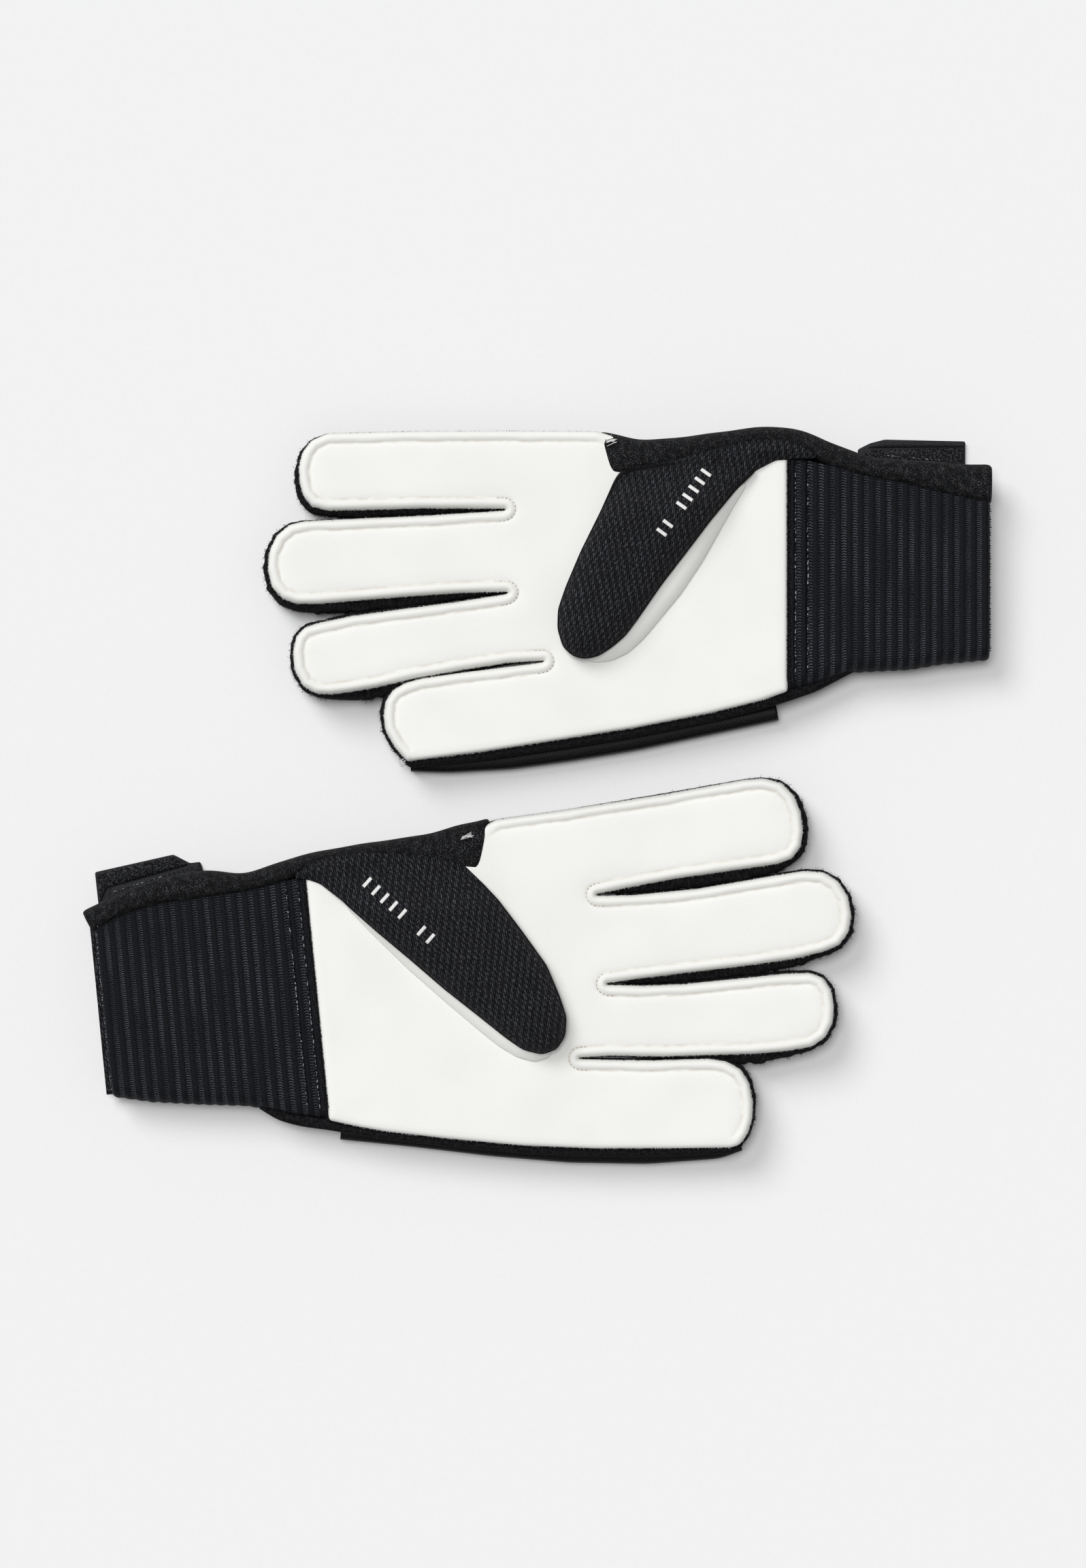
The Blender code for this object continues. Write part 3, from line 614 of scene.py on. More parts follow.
outlines = {}
for side, plan in plans.items():
    rows, normals = flow(HAND[side], 0.8, 0.7)
    line = rows[:, :2]
    # the edge wavers a little, as a hand-turned one does
    run = np.arange(len(rows))
    waver, bumps = (sum(a * np.sin(2 * np.pi * k * run / len(rows) + p) for a, k, p in waves)
                    for waves in (WAVER, BUMPS))
    rows[:, 3] *= 1 + 0.05 * bumps
    # each stretch of the outline between two slits goes with one finger
    owner = sum(run < np.linalg.norm(line - slit, axis=1).argmin() for slit in SLITS[side])
    outlines[side] = rows, normals, owner

    def latex_top(p, d, near, rows=rows, waver=waver):
        """The profile across the edge, then a slight swell over the hand's middle."""
        d = d + waver[near] * np.minimum(d / 3, 1)
        puff = rows[near, 2]
        z = (1 - puff) * np.interp(d, PUFF_D, PLAIN_Z) + puff * np.interp(d, PUFF_D, PUFF_Z)
        swell = 0.12 * np.sin(p[:, 0] / 9 + 1) * np.sin(p[:, 1] / 7)
        return z + swell * np.clip((d - 4) / 4, 0, 1)

    points, faces, edge, near = panel(
        plan, rows, normals, PUFF_D[1:-1], 2.4, latex_top, [(0.12, 13.9), (0.05, 12.9), (-0.5, 12.1)])
    made = parts(plan, "latex_front", LATEX, points, faces, owner[near],
                 extra={"edge": edge, "puff": rows[near, 2]})
    for region, piece in made.items():
        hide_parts(f"{side}_palm_latex" if region == "palm" else f"{side}_{region}_latex")

    # gusset: it bulges out where the hand shows it
    out = rows[:, 3]
    grid = np.stack([
        raised(line + (o * out if o > 0 else np.full(len(line), o))[:, None] * normals, z)
        for o, z in GUSSET], 1)
    points, faces, lay = tube(plan, grid, ring=True)
    made = parts(plan, "gusset_fleece", FLEECE, points, faces, np.repeat(owner, len(GUSSET)), lay)
    webs = [f"{side}_web_index_middle", f"{side}_web_middle_ring", f"{side}_web_ring_little",
            f"{side}_little_side_gusset"]
    for region, piece in made.items():
        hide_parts(*(webs if region == "palm" else [f"{side}_{region}_gusset"]))

    # back: it shows past the latex by the last column, but stops halfway to the next finger
    gap = np.linalg.norm(line[:, None] - line, axis=2)
    gap = np.where(owner[:, None] == owner, 1e3, gap).min(1)
    wide = line + np.minimum(rows[:, 4] - 0.5, gap / 2 - 0.5)[:, None] * normals
    points, faces, edge, near = panel(
        plan, wide, normals, (0.6, 1.5, 3.0), 3.5, lambda p, d, n: 3.4 + np.sqrt(np.clip(d / 3, 0, 1)),
        [(0.35, 2.6), (0.2, 1.5), (-0.8, 0.5), (-2.4, 0.05)])
    made = parts(plan, "knit_back", KNIT, points, faces, owner[near])
    for region, piece in made.items():
        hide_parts(f"{side}_backhand_panel" if region == "palm" else f"{side}_{region}_back")

# ---- loose fibres and slit stitches
# Cut foam and brushed fleece shed fibres: black ones lie over the latex edge, white ones over
# the fleece, and a short pile stands off the gusset. Dark stitches turn round each slit's end.
ROD = 9  # points of one strand
PILE_COUNT = 2200


def strands(plan, ends, radius, taper=1.0, lift=0.0):
    """Short threads: ends is (k, 2, 3). Each is a three-sided rod of three sections, whose
    middle bows up by lift and whose far end is taper times as thick as the near one."""
    a, b = ends[:, 0], ends[:, 1]
    way = (b - a) / np.maximum(np.linalg.norm(b - a, axis=1), 1e-9)[:, None]
    across = np.cross(way, [0.0, 0.0, 1.0])
    across /= np.maximum(np.linalg.norm(across, axis=1), 1e-9)[:, None]
    up = np.cross(across, way)
    turn = np.radians([90, 210, 330])[:, None]
    spokes = np.cos(turn) * across[:, None] + np.sin(turn) * up[:, None]
    sections = [(a + s * (b - a) + bow * lift * up)[:, None] + radius * width * spokes
                for s, bow, width in ((0, 0, 1), (0.5, 1, (1 + taper) / 2), (1, 0, taper))]
    points = np.stack(sections, 1).reshape(-1, 3)
    shift = (np.arange(len(a)) * ROD)[:, None, None]
    faces = [(f + shift).reshape(-1, f.shape[1])
             for f in (quads(3, 3, wrap_m=True), np.array([[2, 1, 0], [6, 7, 8]]))]
    return points, outward(plan.world(points), faces)


for side, plan in plans.items():
    rows, normals, owner = outlines[side]
    step = np.linalg.norm(np.diff(rows[:, :2], axis=0, append=rows[:1, :2]), axis=1)
    for name, count, inward, length, low, rise, cloth, slot in (
            ("black_fibres", 2400, 1, (0.25, 0.85), 0, 1.6, FLEECE, "fleece"),
            ("white_fibres", 1500, -1, (0.2, 0.55), 0.6, 0.2, WHITE, "palm_latex")):
        weight = step * np.clip(rows[:, 3] + 0.25, 0, 1) * (rows[:, 0] > 3)
        pick = rng.choice(len(rows), count, p=weight / weight.sum())
        at = rows[pick, :2] + rng.random((count, 1)) * (rows[(pick + 1) % len(rows), :2] - rows[pick, :2])
        n = normals[pick]
        lean = rng.normal(0, 0.7, (count, 1))
        way = -inward * n + lean * np.stack([-n[:, 1], n[:, 0]], -1)
        way /= np.linalg.norm(way, axis=1)[:, None]
        reach = rng.uniform(*length, (count, 1))
        first = raised(at + 0.15 * inward * n, rng.uniform(13.6, 14.6, count) + low)
        last = raised(at + reach * way, first[:, 2] + rng.uniform(0.5, 1.2, count) * reach[:, 0] * rise)
        points, faces = strands(plan, np.stack([first, last], 1), 0.09, taper=0.3, lift=0.08)
        parts(plan, name, cloth, points, faces, np.repeat(owner[pick], ROD))
    weight = step * np.clip(rows[:, 3] - 0.3, 0, 1)
    pick = rng.choice(len(rows), PILE_COUNT, p=weight / weight.sum())
    high = rng.uniform(4.0, 12.2, PILE_COUNT)
    n = normals[pick]
    at = rows[pick, :2] + (rows[pick, 3:4] * 0.95) * n + rng.normal(0, 0.25, (PILE_COUNT, 2))
    way = n + rng.normal(0, 0.6, (PILE_COUNT, 1)) * np.stack([-n[:, 1], n[:, 0]], -1)
    first = raised(at, high)
    last = first + raised(way * rng.uniform(0.2, 0.65, (PILE_COUNT, 1)), rng.normal(0.1, 0.25, PILE_COUNT))
    points, faces = strands(plan, np.stack([first, last], 1), 0.08, taper=0.3, lift=0.1)
    parts(plan, "fleece_pile", FLEECE, points, faces, np.repeat(owner[pick], ROD))
    ends, goes = [], []
    for slit in SLITS[side]:
        close = np.linalg.norm(rows[:, :2] - slit, axis=1) < 3.6
        path = (rows[:, :2] - 3.3 * normals)[close]
        run = run_of(path)
        at = np.arange(0.3, run[-1] - 0.9, 1.35)
        ends.append(np.stack([raised(along_line(at + o, run, path), 16.12) for o in (0.0, 0.75)], 1))
        goes.append(owner[close][np.interp(at, run, np.arange(len(run))).astype(int)])
    points, faces = strands(plan, np.vstack(ends), 0.09, lift=0.05)
    parts(plan, "slit_stitches", THREAD, points, faces, np.repeat(np.concatenate(goes), ROD))

# ---- little side: piping and overlay
# Along the little side a rolled fleece edge and a coated strip of the backhand show past the
# latex, from the heel of the hand to the little finger's tip. Rows: x, y, half width, z.
PIPING = {
    "right": [
        (-22, -30.0, 0.8, 9), (-16, -32.2, 1.6, 9), (-9, -35.3, 2.2, 9), (0, -38.6, 2.0, 10),
        (8.6, -41.6, 1.7, 11), (24.8, -45.7, 1.6, 11), (50, -50.7, 1.6, 11), (70, -53.9, 1.6, 11),
        (99, -58.2, 1.6, 11), (121, -60.6, 1.4, 11),
    ],
    "left": [
        (-22, -32.5, 0.8, 9), (-16, -36.0, 1.8, 9), (-9, -38.4, 2.0, 9), (0, -40.6, 1.8, 10),
        (9, -43.2, 1.6, 11), (18, -45.6, 1.6, 11), (38, -49.9, 1.6, 11), (61.3, -54.4, 1.6, 11),
        (84.7, -57.7, 1.6, 11), (109.7, -60.0, 1.6, 11), (129, -61.2, 1.4, 11),
    ],
}
OVERLAY_RUN = {
    "right": [
        (3.0, -43.8, 2.9, 4), (24.8, -48.0, 3.3, 4), (50, -53.2, 3.4, 4), (70, -56.5, 3.4, 4),
        (90, -59.4, 3.2, 4), (110, -61.3, 2.4, 4), (122, -61.6, 1.7, 4),
    ],
    "left": [
        (3.0, -43.5, 2.6, 4), (26.3, -48.2, 2.6, 4), (51.3, -53.4, 2.9, 4), (76.3, -57.8, 3.1, 4),
        (101.3, -60.8, 3.0, 4), (124.7, -62.2, 2.2, 4), (132, -61.0, 1.4, 4),
    ],
}
LITTLE = FINGERS.index("little")


def squarish(wave, power):
    """A sine or cosine raised to a power with its sign kept: below 1 it squares a circle off."""
    return np.sign(wave) * np.abs(wave) ** power


for side, plan in plans.items():
    for name, table, cloth, slot, node, depth in (
            ("side_piping", PIPING, FLEECE, "fleece", None, 2.6),
            ("side_overlay", OVERLAY_RUN, OVERLAY, "overlay", "backhand_overlay", 3.6)):
        rows, normals = flow(table[side], 0.9, 2.0, closed=False)
        a = np.linspace(0, 2 * np.pi, 17)[:-1]
        c, s = squarish(np.cos(a), 0.75), squarish(np.sin(a), 0.75)
        # two shallow channels run along the upper face
        tall = s * depth + 0.35 * np.cos(3 * np.pi * c) * (np.sin(a) > 0.1)
        across = c * rows[:, 2:3]
        grid = np.dstack([rows[:, :1] + across * normals[:, :1], rows[:, 1:2] + across * normals[:, 1:],
                          np.maximum(rows[:, 3:4] + tall, 0.3)])
        points, faces, lay = tube(plan, grid)
        made = parts(plan, name, cloth, points, faces, np.full(len(points), LITTLE), lay)
        if node:
            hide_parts(f"{side}_{node}")

# ---- wrist elastic and its stitching
# A wide ribbed elastic closes the palm side of the wrist and wraps down round the little side.
# Two stitch rows and an overlocked edge hold it to the palm; its mouth has a beaded edge.
ELASTIC = {
    "right": {
        "x": (-65.5, -0.2),
        "top": [(-65.5, 24.5), (-55, 27), (-40, 30.5), (-20, 34), (0, 39.0)],
        "low": [(-65.5, -27.0), (-50, -28.5), (-40, -30.2), (-20, -31.2), (-12, -34.0), (0, -37.6)],
    },
    "left": {
        "x": (-69.0, -0.2),
        "top": [(-69, 31), (-60, 35.2), (-48.7, 37.5), (-32, 38.2), (-15, 38.6), (0, 40.2)],
        "low": [
            (-69, -24.6), (-57, -27.5), (-40.3, -30.0), (-27, -31.7), (-20.3, -33.3), (-12, -36),
            (0, -38.9),
        ],
    },
}
STITCH_ROWS = (-2.6, -6.6)
ELASTIC_Z = 15.1
# The turned-down edge, from its lower end up: y in from the edge, height, share of the rib's
# swell, and how far the lining lies in and up from it.
TURNED = np.array([
    (2.6, 5.4, 0.0, 0.2, 0.8), (1.0, 5.9, 0.2, 0.6, 0.7), (0.15, 7.2, 0.4, 1.3, 0.4),
    (0.0, 9.4, 0.6, 1.5, 0.0), (0.3, 11.4, 0.8, 1.5, -0.5), (1.1, 13.2, 0.9, 1.3, -0.9),
    (2.4, 14.5, 1.0, 0.8, -1.3), (4.2, 15.1, 1.0, 0.3, -1.5)])
ACROSS = 59  # points over the elastic past its turned edge


def edges_at(shape, x):
    """The y of an elastic's lower and upper edge at x."""
    return (np.interp(x, *np.array(shape[k]).T) for k in ("low", "top"))


def whole(plan, name, body, slot, cloth, points, faces, lay=None):
    """A piece that goes with one body as a whole."""
    piece = make(plan, name, cloth, points, faces, lay)
    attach(piece, f"{plan.side}_{body}")
    return piece


def sew(plan, name, body, cloth, first, last, radius, lift):
    """A piece made of stitches: each goes from a point of first to the same one of last."""
    points, faces = strands(plan, np.stack([first, last], 1), radius, lift=lift)
    whole(plan, name, body, "stitching", cloth, points, faces)


def flat_size(x, low, top, turned):
    """The flat length and width of a cloth in metres, with what is turned under, and its area."""
    flat = round((x[-1] - x[0]) / 1000, 4), round(((top - low).max() + turned) / 1000, 4)
    return flat, round(flat[0] * ((top - low).mean() + turned) / 1000, 6)


for side, plan in plans.items():
    shape = ELASTIC[side]
    mouth, seam = shape["x"]
    x = np.arange(mouth, seam, 0.28)
    low, top = edges_at(shape, x)
    turn_y, turn_z, turn_lift, in_y, in_z = TURNED.T
    share = np.linspace(0, 1, ACROSS + 1)[1:]
    over = low[:, None] + 4.2 + share * (top - low - 4.2)[:, None]
    y = np.concatenate([low[:, None] + turn_y, over], 1)
    crown = ELASTIC_Z + 0.5 * np.sin(np.pi * share)
    # each rib is a blunt ridge; the stitch rows and the mouth are pulled down
    rib = 0.75 * (1 - np.abs(2 * (x / RIB % 1) - 1)) ** 0.7 - 0.4
    for row in STITCH_ROWS:
        rib = rib - 0.45 * np.exp(-((x - row) / 0.55) ** 2)
    rib = rib - 0.9 * np.clip((mouth + 0.9 - x) / 0.9, 0, 1) ** 2
    lift = np.concatenate([turn_lift, np.ones(ACROSS)])
    z = np.concatenate([turn_z, crown]) + rib[:, None] * lift
    y = y - (rib[:, None] + 0.2) * (1 - lift) * 1.1
    xs = np.broadcast_to(x[:, None], y.shape)
    turned = len(TURNED)
    inner_y = np.concatenate([y[:, :turned] + in_y, y[:, turned:]], 1)
    inner_z = np.concatenate([z[:, :turned] + in_z, np.full((len(x), ACROSS), 13.6)], 1)
    points, faces, lay = tube(plan, slab(np.dstack([xs, y, z]), np.dstack([xs, inner_y, inner_z])))
    pattern = np.column_stack([points[:, 0] + RIB / 2, lay[:, 1], np.zeros(len(points))])
    piece = whole(plan, "ribbed_elastic", "palm", "ribbed_elastic", RIBBED, points, faces, pattern)
    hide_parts(f"{side}_wrist_elastic")
    flat, area = flat_size(x, low, top, 9.3)

    # stitch rows that hold the elastic to the palm
    first, last = [], []
    for row in STITCH_ROWS:
        low_y, top_y = edges_at(shape, row)
        at = np.arange(low_y + 3.5, top_y - 2.5, 2.1)
        jig = rng.normal(0, 0.08, (len(at), 2))
        height = 15.2 + 0.4 * np.sin(np.pi * (at - low_y) / (top_y - low_y))
        first.append(np.column_stack([row + jig[:, 0], at, height]))
        last.append(np.column_stack([row + jig[:, 1], at + 1.5, height]))
    sew(plan, "elastic_stitching", "palm", THREAD, np.vstack(first), np.vstack(last), 0.28, 0.24)

    # overlocked edge of the elastic beside the palm
    at = np.arange(low[-1] + 3.4, top[-1] - 1.4, 0.62)
    first = np.column_stack([-1.7 + rng.normal(0, 0.08, len(at)), at, np.full(len(at), 15.2)])
    last = np.column_stack([0.15 + rng.normal(0, 0.1, len(at)), at + 0.35, np.full(len(at), 16.1)])
    sew(plan, "seam_overlock", "palm", WEBBING, first, last, 0.24, 0.35)

    # beads of thread along the cuff's mouth
    at = np.arange(low[0] + 2.5, top[0] - 1.5, 0.85)
    first = np.column_stack([np.full(len(at), mouth - 0.12), at, 14.5 + rng.normal(0, 0.1, len(at))])
    last = first + np.column_stack([rng.normal(0, 0.1, len(at)), np.full(len(at), 0.5),
                                    rng.normal(0, 0.1, len(at))])
    sew(plan, "cuff_mouth_stitching", "palm", THREAD, first, last, 0.26, 0.12)

# ---- back of the cuff
# A plain knit layer lies under the cuff's opening and carries the loop side of the fastener.
# It is one flat cloth, as wide as the elastic above it and a little longer on the left glove.
for side, plan in plans.items():
    past_mouth, past_edge = (2.6, 3) if side == "left" else (0.0, 2)
    x = np.linspace(ELASTIC[side]["x"][0] - past_mouth, 1.5, 40)
    low, top = edges_at(ELASTIC[side], x)
    y = (low + 0.6)[:, None] + np.linspace(0, 1, 26) * (top + past_edge - low)[:, None]
    xs = np.broadcast_to(x[:, None], y.shape)
    swell = 0.25 * np.sin(xs / 5) * np.sin(y / 6)
    cloth = slab(np.dstack([xs, y, 5.9 + swell]), np.dstack([xs, y, np.full(y.shape, 4.25)]))
    piece = whole(plan, "cuff_back_cloth", "palm", "knit", KNIT, *tube(plan, cloth)[:2])
    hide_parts(f"{side}_cuff_back")
    flat, area = flat_size(x, low, top, 2.4)

# ---- cuff roll and side panel
# One long stuffed edge of brushed knit runs from the cuff's mouth along the thumb side to the
# index finger. Rows: the inner edge's x, y, then the outer edge's x, y, then top height.
ROLL = {
    "right": [
        (-66.0, 22.9, -66.2, 36.0, 17.6), (-55, 25.4, -55, 36.4, 18.0), (-40, 29.0, -40, 37.5, 18.0),
        (-27, 31.6, -27, 38.3, 17.6), (-15, 34.4, -16.5, 42.0, 17.2), (-9, 37.4, -9, 45.8, 17.4),
        (-4, 41.6, -3, 47.8, 17.8), (2, 42.4, 4, 48.5, 17.9), (12, 41.8, 13, 48.0, 18.0),
        (23.3, 39.0, 25, 46.2, 18.2), (35, 35.9, 38, 44.4, 18.4), (47, 33.0, 48, 44.2, 18.6),
        (54.0, 31.3, 56, 45.8, 18.3), (56.4, 31.2, 61.0, 46.9, 17.4),
    ],
    "left": [
        (-70.2, 29.2, -73.0, 36.2, 17.4), (-60, 33.8, -60, 41.1, 18.0), (-48.7, 35.8, -47, 44.7, 18.0),
        (-33, 36.4, -33, 46.0, 17.8), (-20, 37.0, -20.5, 42.8, 17.2), (-8, 38.8, -10, 45.3, 17.4),
        (0, 41.6, -2, 47.1, 17.6), (6, 43.8, 6, 48.2, 17.6), (18, 44.3, 18, 49.0, 17.8),
        (32, 42.2, 33, 49.6, 18.0), (44, 39.6, 46, 50.8, 18.4), (51, 36.6, 54, 52.4, 18.2),
        (55.2, 33.9, 61.4, 53.4, 17.4),
    ],
}
for side, plan in plans.items():
    table = np.array(ROLL[side])
    run = run_of(table[:, 2:4])
    fine = np.linspace(0, run[-1], 260)
    cols = blur(along_line(fine, run, table), 7.0, 24)
    inner, outer, top = cols[:, :2], cols[:, 2:4], cols[:, 4]
    a = np.linspace(0, 2 * np.pi, 41)[:-1]
    c, s = squarish(np.cos(a), 0.8), squarish(np.sin(a), 0.8)
    mid = (inner + outer) / 2
    base = np.interp(mid[:, 0], (-20, 5), (6.2, 3.6))
    # both ends are drawn in over their last 2.2 mm, and the stuffing is a little uneven
    end = np.minimum(1, np.minimum(fine, fine[-1] - fine) / 2.2)
    end = np.sqrt(1 - (1 - end) ** 2) * 0.28 + 0.72
    half = (outer - inner) / 2 * (0.5 + 0.5 * end)[:, None]
    ripple = 1 + 0.04 * np.sin(fine / 3.1 + 2)[:, None] * np.sin(2 * a + fine[:, None] / 11)
    grid = np.dstack([
        mid[:, :1] + half[:, :1] * c * ripple, mid[:, 1:] + half[:, 1:] * c * ripple,
        ((top + base) / 2)[:, None] + ((top - base) / 2 * end)[:, None] * s * (0.97 + 0.03 * ripple)])
    piece = whole(plan, "cuff_and_side_roll", "palm", "knit", MELANGE, *tube(plan, grid))
    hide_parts(f"{side}_cuff_roll", f"{side}_thumb_side_panel")

# ---- thumb, folded over the palm
# The thumb's padded knit back is uppermost and its white latex peeps out along its inner side,
# with a fleece gusset between. "crease" is where the back is sewn to the side roll. Outlines
# run anticlockwise; "bend" is where the fold starts and ends, "marks" the printed row's ends.
THUMB = {
    "right": {
        "edge": [
            (-9.0, 37.9), (0, 37.6), (4, 37.2), (10.3, 34.0), (16.7, 27.8), (24.8, 18.1), (32.8, 7.6),
            (40.9, -2.9), (49, -14.6), (52.6, -19.4), (57, -23.2), (61.4, -26.0), (65.6, -26.9),
            (69.4, -25.9), (72.5, -23.0), (74.2, -17.2), (74.0, -11.0), (71.5, -3.7), (66.7, 7.6),
            (60.3, 20.5), (55.4, 31.6),
        ],
        "crease": [
            (54.3, 33.2), (47, 35.2), (35, 38.0), (23.3, 41.1), (12, 43.8), (2, 44.4), (-4, 42.4),
            (-9.4, 38.6),
        ],
        "latex": [
            (14, 30.2), (13.0, 29.6), (18.0, 21.3), (27.6, 4.4), (34.5, -6.0), (40.6, -13.4),
            (46.5, -20.4), (51.5, -25.0), (57, -27.7), (62.5, -28.2), (67, -26.8), (70, -22), (71, -14),
            (67, -2), (60, 14), (52, 28), (30, 31), (18, 31),
        ],
        "bend": ((28, 39.6), (25.2, 24.6)),
        "marks": ((26.5, 33.0), (42.0, 12.0)),
    },
    "left": {
        "edge": [
            (-3, 40.0), (0.8, 39.4), (4.7, 37.6), (11.3, 31.5), (21.3, 20.8), (31.3, 10.6), (41.3, 0.1),
            (51.3, -9.5), (59.4, -17.4), (64.7, -21.9), (70.5, -24.0), (75.2, -22.9), (78.4, -19.0),
            (79.4, -13.0), (78.0, -6.5), (74.7, 4.2), (68, 15.8), (61.3, 26.7), (55.6, 34.0),
        ],
        "crease": [
            (51.4, 38.9), (44.5, 42.2), (32, 44.8), (18, 46.6), (7, 46.2), (1, 44.0), (-3.2, 41.2),
        ],
        "latex": [
            (13, 31.0), (12.0, 29.4), (19.5, 20.0), (31.0, 6.4), (41.3, -4.6), (51.2, -14.8),
            (57.2, -20.6), (62.4, -24.4), (68, -26.6), (73, -25.6), (76, -20), (76, -13), (72, 2),
            (62, 20), (53, 30), (30, 32), (18, 32),
        ],
        "bend": ((28, 43.2), (24.6, 28.6)),
        "marks": ((20.0, 36.6), (40.0, 15.2)),
    },
}
ROOT_FALL = 3.9  # how much lower the cover's rim lies at its crease than at the thumb's tip
BARS = (0.0, 0.13, 0.26, 0.39, 0.52, 0.80, 0.93)  # places of the bars along the printed row


def clear_of(crease, p):
    """How far each plan point is free of the sewn crease: 0 on it, 1 from 15 mm, smooth between."""
    root = np.clip(apart(p, crease)[0] / 15, 0, 1)
    return root * root * (3 - 2 * root)


def cover_height(crease, p, d):
    """Height of the thumb's back at distance d inside its edge: it rises away from the crease,
    rounds off towards the edge as a quarter circle and has slight wrinkles."""
    root = clear_of(crease, p)
    dome = np.sqrt(1 - (1 - np.clip(d / 9.5, 0, 1)) ** 2)
    wrinkle = 0.22 * np.sin(p[:, 0] / 3.7 + p[:, 1] / 6) * np.sin(p[:, 1] / 4.3) * np.clip(d / 6, 0, 1)
    fore = np.clip((p[:, 0] + 8) / 16, 0, 1)
    return 16.9 + 4.1 * root + (1.0 + 2.2 * fore + 3.6 * root) * dome + wrinkle


def thumb_piece(plan, name, slot, cloth, points, faces, lay=None, extra=None):
    """A piece of the thumb, left where it is drawn; the two ends of its fold are worked out but not used."""
    piece = make(plan, name, cloth, points, faces, lay, extra)
    start, end = (plan.world([*p, 20.5]) for p in THUMB[plan.side]["bend"])
    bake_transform(piece)
    return piece


for side, plan in plans.items():
    shape = THUMB[side]
    crease, _ = flow(shape["crease"], 0.8, 0.6, closed=False)
    rows, normals = flow([*shape["edge"], *shape["crease"]], 0.7, 0.6)
    fall = ROOT_FALL * clear_of(crease, rows[:, :2])
    points, faces, edge, near = panel(
        plan, rows, normals, (0.2, 0.5, 0.9, 1.4, 2.0, 2.8, 3.7, 4.8), 1.5,
        lambda p, d, n, crease=crease: cover_height(crease, p, d),
        [(0.15, 16.4 + fall), (-0.5, 15.9 + fall), (-2.0, 15.8 + fall)])
    under = edge == BASE
    points[under, 2] = 15.8 + ROOT_FALL * clear_of(crease, points[under, :2])
    piece = thumb_piece(plan, "thumb_knit_back", "knit", KNIT, points, faces)
    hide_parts(f"{side}_thumb_back")

    # white latex sheet of the thumb
    points, faces, edge, near = panel(
        plan, *flow(shape["latex"], 0.8, 1.0), (0.3, 0.7, 1.2, 1.8, 2.6, 3.6), 2.2,
        lambda p, d, n: 17.1 + 2.7 * (1 - (1 - np.clip(d / 4.5, 0, 1)) ** 2), [(0.0, 16.85), (-0.4, 16.62)])
    piece = thumb_piece(plan, "thumb_latex_front", "palm_latex", LATEX, points, faces,
                        extra={"edge": np.full(len(points), 9.0), "puff": np.zeros(len(points))})
    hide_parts(f"{side}_thumb_latex")

    # fleece gusset between the thumb's latex and its back; it sinks towards the crease
    ring, out = flow([*shape["edge"][3:], (50, 35), (30, 37), (15, 36.5)], 0.9, 1.0)
    grid = np.stack([
        raised(ring + o * out, z)
        for o, z in ((-0.5, 22.6), (0.1, 22.0), (0.25, 20.6), (0.0, 19.6), (-1.2, 19.4), (-1.6, 21.0))], 1)
    grid[..., 2] -= 3.6 * (1 - clear_of(crease, ring)[:, None])
    piece = thumb_piece(plan, "thumb_gusset_fleece", "fleece", FLEECE, *tube(plan, grid, ring=True))
    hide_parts(f"{side}_thumb_gusset")

    # plain white bars printed on the thumb
    a, b = np.array(shape["marks"])
    reach = np.linalg.norm(b - a)
    way = (b - a) / reach
    u, v = np.meshgrid(np.linspace(-0.55, 0.55, 4), np.linspace(-1.9, 1.9, 9), indexing="ij")
    points, faces = np.empty((0, 3)), []
    for along in BARS:
        p = a + (along * reach + u)[..., None] * way + v[..., None] * np.array([-way[1], way[0]])
        spots = p.reshape(-1, 2)
        z = cover_height(crease, spots, apart(spots, rows[:, :2])[0]).reshape(u.shape)
        bar, bar_faces, _ = tube(plan, slab(np.dstack([p, z + 0.14]), np.dstack([p, z - 0.2])))
        faces += [f + len(points) for f in bar_faces]
        points = np.vstack([points, bar])
    thumb_piece(plan, "thumb_printed_bars", "white_thread", WHITE, points, faces)

# ---- white thread ends
# Loose ends of white thread stand out at the bar tack in the thumb's crotch, at the right little
# finger's tip and at the left cuff. Rows: x, y, z, length, spread, heading in degrees, count.
TACKS = {
    "right": [
        (57.0, 43.2, 18.2, 3.6, 0.5, -10, 9), (124.6, -60.6, 14.6, 2.4, 0.7, -50, 7),
    ],
    "left": [
        (53.4, 48.0, 18.6, 4.2, 0.5, 8, 9), (-68.4, 31.2, 15.6, 0.9, 0.3, 60, 5),
    ],
}
for side, plan in plans.items():
    ends = []
    for x, y, z, length, spread, heading, count in TACKS[side]:
        along = np.array([np.cos(np.radians(heading)), np.sin(np.radians(heading))])
        middle = np.array([x, y]) + rng.normal(0, spread, (count, 2)) * 0.6
        reach = length * rng.uniform(0.3, 0.5, (count, 1))
        tilt = rng.normal(0, 0.25, (count, 1)) * np.array([-along[1], along[0]])
        high = z + rng.uniform(0, 0.3, count)
        ends.append(np.stack([raised(middle + way * reach * (along + tilt), high) for way in (-1, 1)], 1))
    points, faces = strands(plan, np.vstack(ends), 0.13, lift=0.3)
    parts(plan, "white_thread_ends", WHITE, points, faces, np.full(len(points), LITTLE))

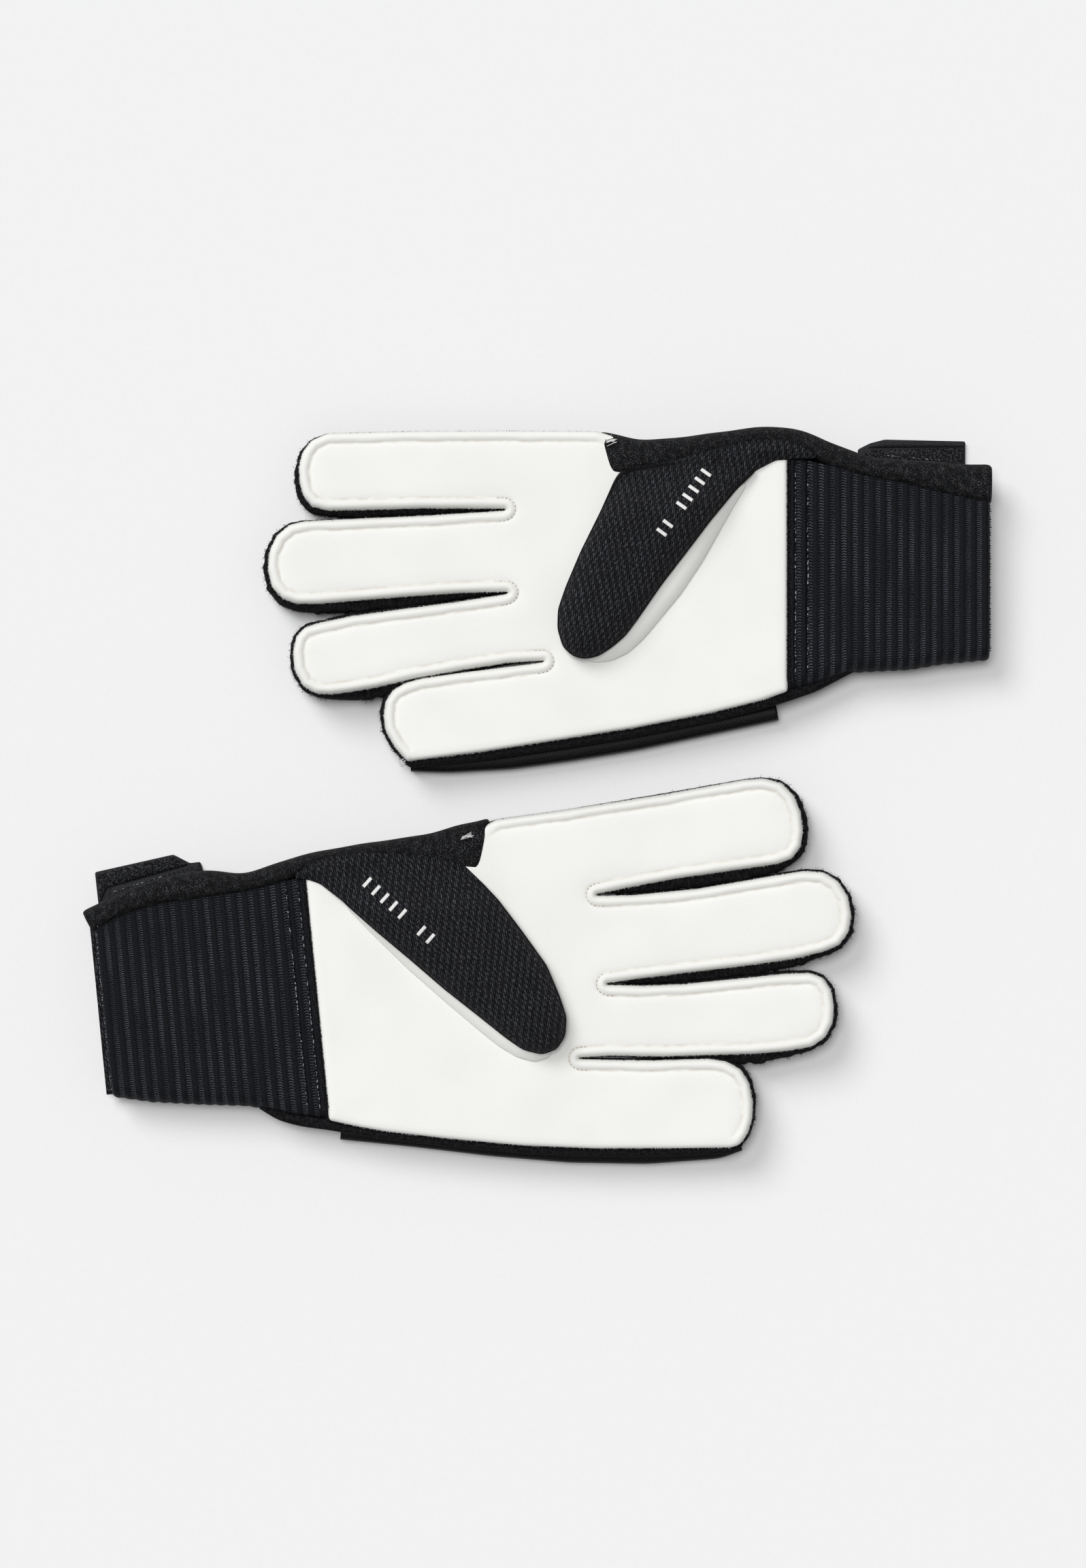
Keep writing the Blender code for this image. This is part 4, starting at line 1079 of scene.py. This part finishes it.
# ---- strap and its fastener
# A strap of woven webbing is sewn to the little side, runs under the cuff and closes on a loop
# pad; its free end shows past the roll, with a sewn pad and fold. The hook pad is on its inside.
# Outlines run anticlockwise; "seam" gives the two ends of the stitch row on the free end.
STRAP = {
    "right": {
        "band": [
            (-58.2, -27.4), (-23.6, -27.4), (-23.6, 41.6), (-27.6, 43.6), (-32.3, 44.8), (-58.5, 44.2),
        ],
        "seam": [(-54.5, 37.6), (-29.5, 39.8)],
        "pad": [(-57.4, 36.4), (-25.6, 38.4), (-25.9, 41.2), (-57.4, 42.1)],
        "fold": [(-57.9, 42.5), (-26.6, 42.2), (-28.6, 43.3), (-32.6, 44.3), (-57.9, 43.8)],
    },
    "left": {
        "band": [
            (-67.8, -24.6), (-33.6, -27.4), (-33.4, 44.0), (-34.2, 48.2), (-37.6, 48.1), (-42.7, 51.4),
            (-68.6, 48.2),
        ],
        "seam": [(-63.0, 41.4), (-36.0, 47.0)],
        "pad": [(-67.8, 38.6), (-65.4, 42.9), (-38.2, 47.9), (-42.9, 50.9), (-67.9, 47.8)],
        "fold": [(-65.2, 38.6), (-33.9, 45.4), (-34.5, 47.8), (-37.5, 47.5), (-63.9, 43.0)],
    },
}
TAB_STITCHES = 18
for side, plan in plans.items():
    shape = STRAP[side]
    for name, key, base, top, cloth, slot, node in (
            ("strap_webbing", "band", 0.05, 1.9, WEBBING, "strap_webbing", "strap_band"),
            ("strap_tab_pad", "pad", 1.8, 3.3, PILE, "loop_fastener", None),
            ("strap_tab_fold", "fold", 1.8, 3.0, WEBBING, "strap_webbing", None)):
        points, faces, edge, near = panel(
            plan, *flow(shape[key], 0.9, 0.4), (0.3, 0.8, 1.5), 3.0,
            lambda p, d, n, top=top: top - 0.7 * (1 - np.sqrt(np.clip(d / 1.4, 0, 1))),
            [(0.1, (base + top) / 2 - 0.2), (-0.3, base)])
        piece = whole(plan, name, "strap", slot, cloth, points, faces)
        if node:
            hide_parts(f"{side}_{node}")
    # a stitch row across the tab, and one round the strap's underside, set in from its edge
    a, b = np.array(shape["seam"])
    first = a + np.linspace(0, 1, TAB_STITCHES + 1)[:-1, None] * (b - a)
    first, last = (raised(p, 3.25) for p in (first, first + 0.6 / TAB_STITCHES * (b - a)))
    sew(plan, "tab_stitching", "strap", THREAD, first, last, 0.2, 0.15)
    middle = np.array([shape["band"][0][0] + 17, 8])
    band, _ = flow((np.array(shape["band"]) - middle) * (0.9, 0.965) + middle, 2.6, 0.4)
    first, last = (raised(p, 0.16) for p in (band, band + 0.6 * (np.roll(band, -1, 0) - band)))
    sew(plan, "strap_stitching", "strap", THREAD, first, last, 0.16, -0.02)
    for node, body, slot in (("hook_pad", "strap", "hook_fastener"), ("loop_pad", "palm", "loop_fastener")):
        corners = [plan.local(np.array(c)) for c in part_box(f"{side}_{node}")]
        low, high = np.min(corners, 0), np.max(corners, 0)
        xs, ys = (np.linspace(low[k] + 1, high[k] - 1, n) for k, n in ((0, 20), (1, 24)))
        xs, ys = np.meshgrid(xs, ys, indexing="ij")
        nap = 0.08 * np.sin(xs * 2.1) * np.sin(ys * 2.3)
        pad = slab(np.dstack([xs, ys, high[2] - 0.1 + nap]), np.dstack([xs, ys, np.full(xs.shape, low[2])]))
        piece = whole(plan, f"{node}_pile", body, slot, PILE, *tube(plan, pad)[:2])
        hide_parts(f"{side}_{node}")

# ---- table, light and camera
# The gloves lie on a matt white paper table under two broad lights and an even white sky, and
# are seen from straight above.
FLOOR_HALF, FLOOR_Z = 8, -0.0003  # metres
LAMPS = (("overhead", 0.4, 1.58, (0.10, -0.14, -1)), ("window", 0.5, 1.52, (0.56, -0.68, -0.95)))
floor_mesh = bpy.data.meshes.new("table")
corners = [(x * FLOOR_HALF, y * FLOOR_HALF, FLOOR_Z) for x, y in ((-1, -1), (1, -1), (1, 1), (-1, 1))]
floor_mesh.from_pydata(corners, [], [(0, 1, 2, 3)])
floor = bpy.data.objects.new("table", floor_mesh)
bpy.context.scene.collection.objects.link(floor)
paper = bpy.data.materials.new("paper")
paper.use_nodes = True
tree = Tree(paper.node_tree)
place = Value(tree, tree.add("ShaderNodeTexCoord").outputs["Object"])
tint = tree.mix(tree.noise(place, 900.0, 2.0), (0.83, 0.83, 0.835), (0.86, 0.86, 0.865))
shader = paper.node_tree.nodes["Principled BSDF"]
tree.feed(shader.inputs["Base Color"], tint)
shader.inputs["Roughness"].default_value = 0.9
floor_mesh.materials.append(paper)

world = bpy.data.worlds.new("studio")
bpy.context.scene.world = world
world.use_nodes = True
sky = world.node_tree.nodes["Background"]
sky.inputs["Color"].default_value, sky.inputs["Strength"].default_value = (1.0, 1.0, 1.0, 1.0), 0.20
for name, spread, power, way in LAMPS:
    light = bpy.data.lights.new(name, "SUN")
    light.angle, light.energy = spread, power
    lamp = bpy.data.objects.new(name, light)
    lamp.rotation_euler = Vector(way).to_track_quat("-Z", "Y").to_euler()
    bpy.context.scene.collection.objects.link(lamp)
camera = bpy.data.cameras.new("camera")
camera.sensor_fit, camera.sensor_height, camera.lens = "VERTICAL", 36.0, 126.8
camera.clip_end = 20
eye = bpy.data.objects.new("camera", camera)
eye.location = (0.0005, 0.0042, 1.8)
bpy.context.scene.collection.objects.link(eye)
bpy.context.scene.camera = eye
bpy.context.scene.view_settings.view_transform = "Standard"
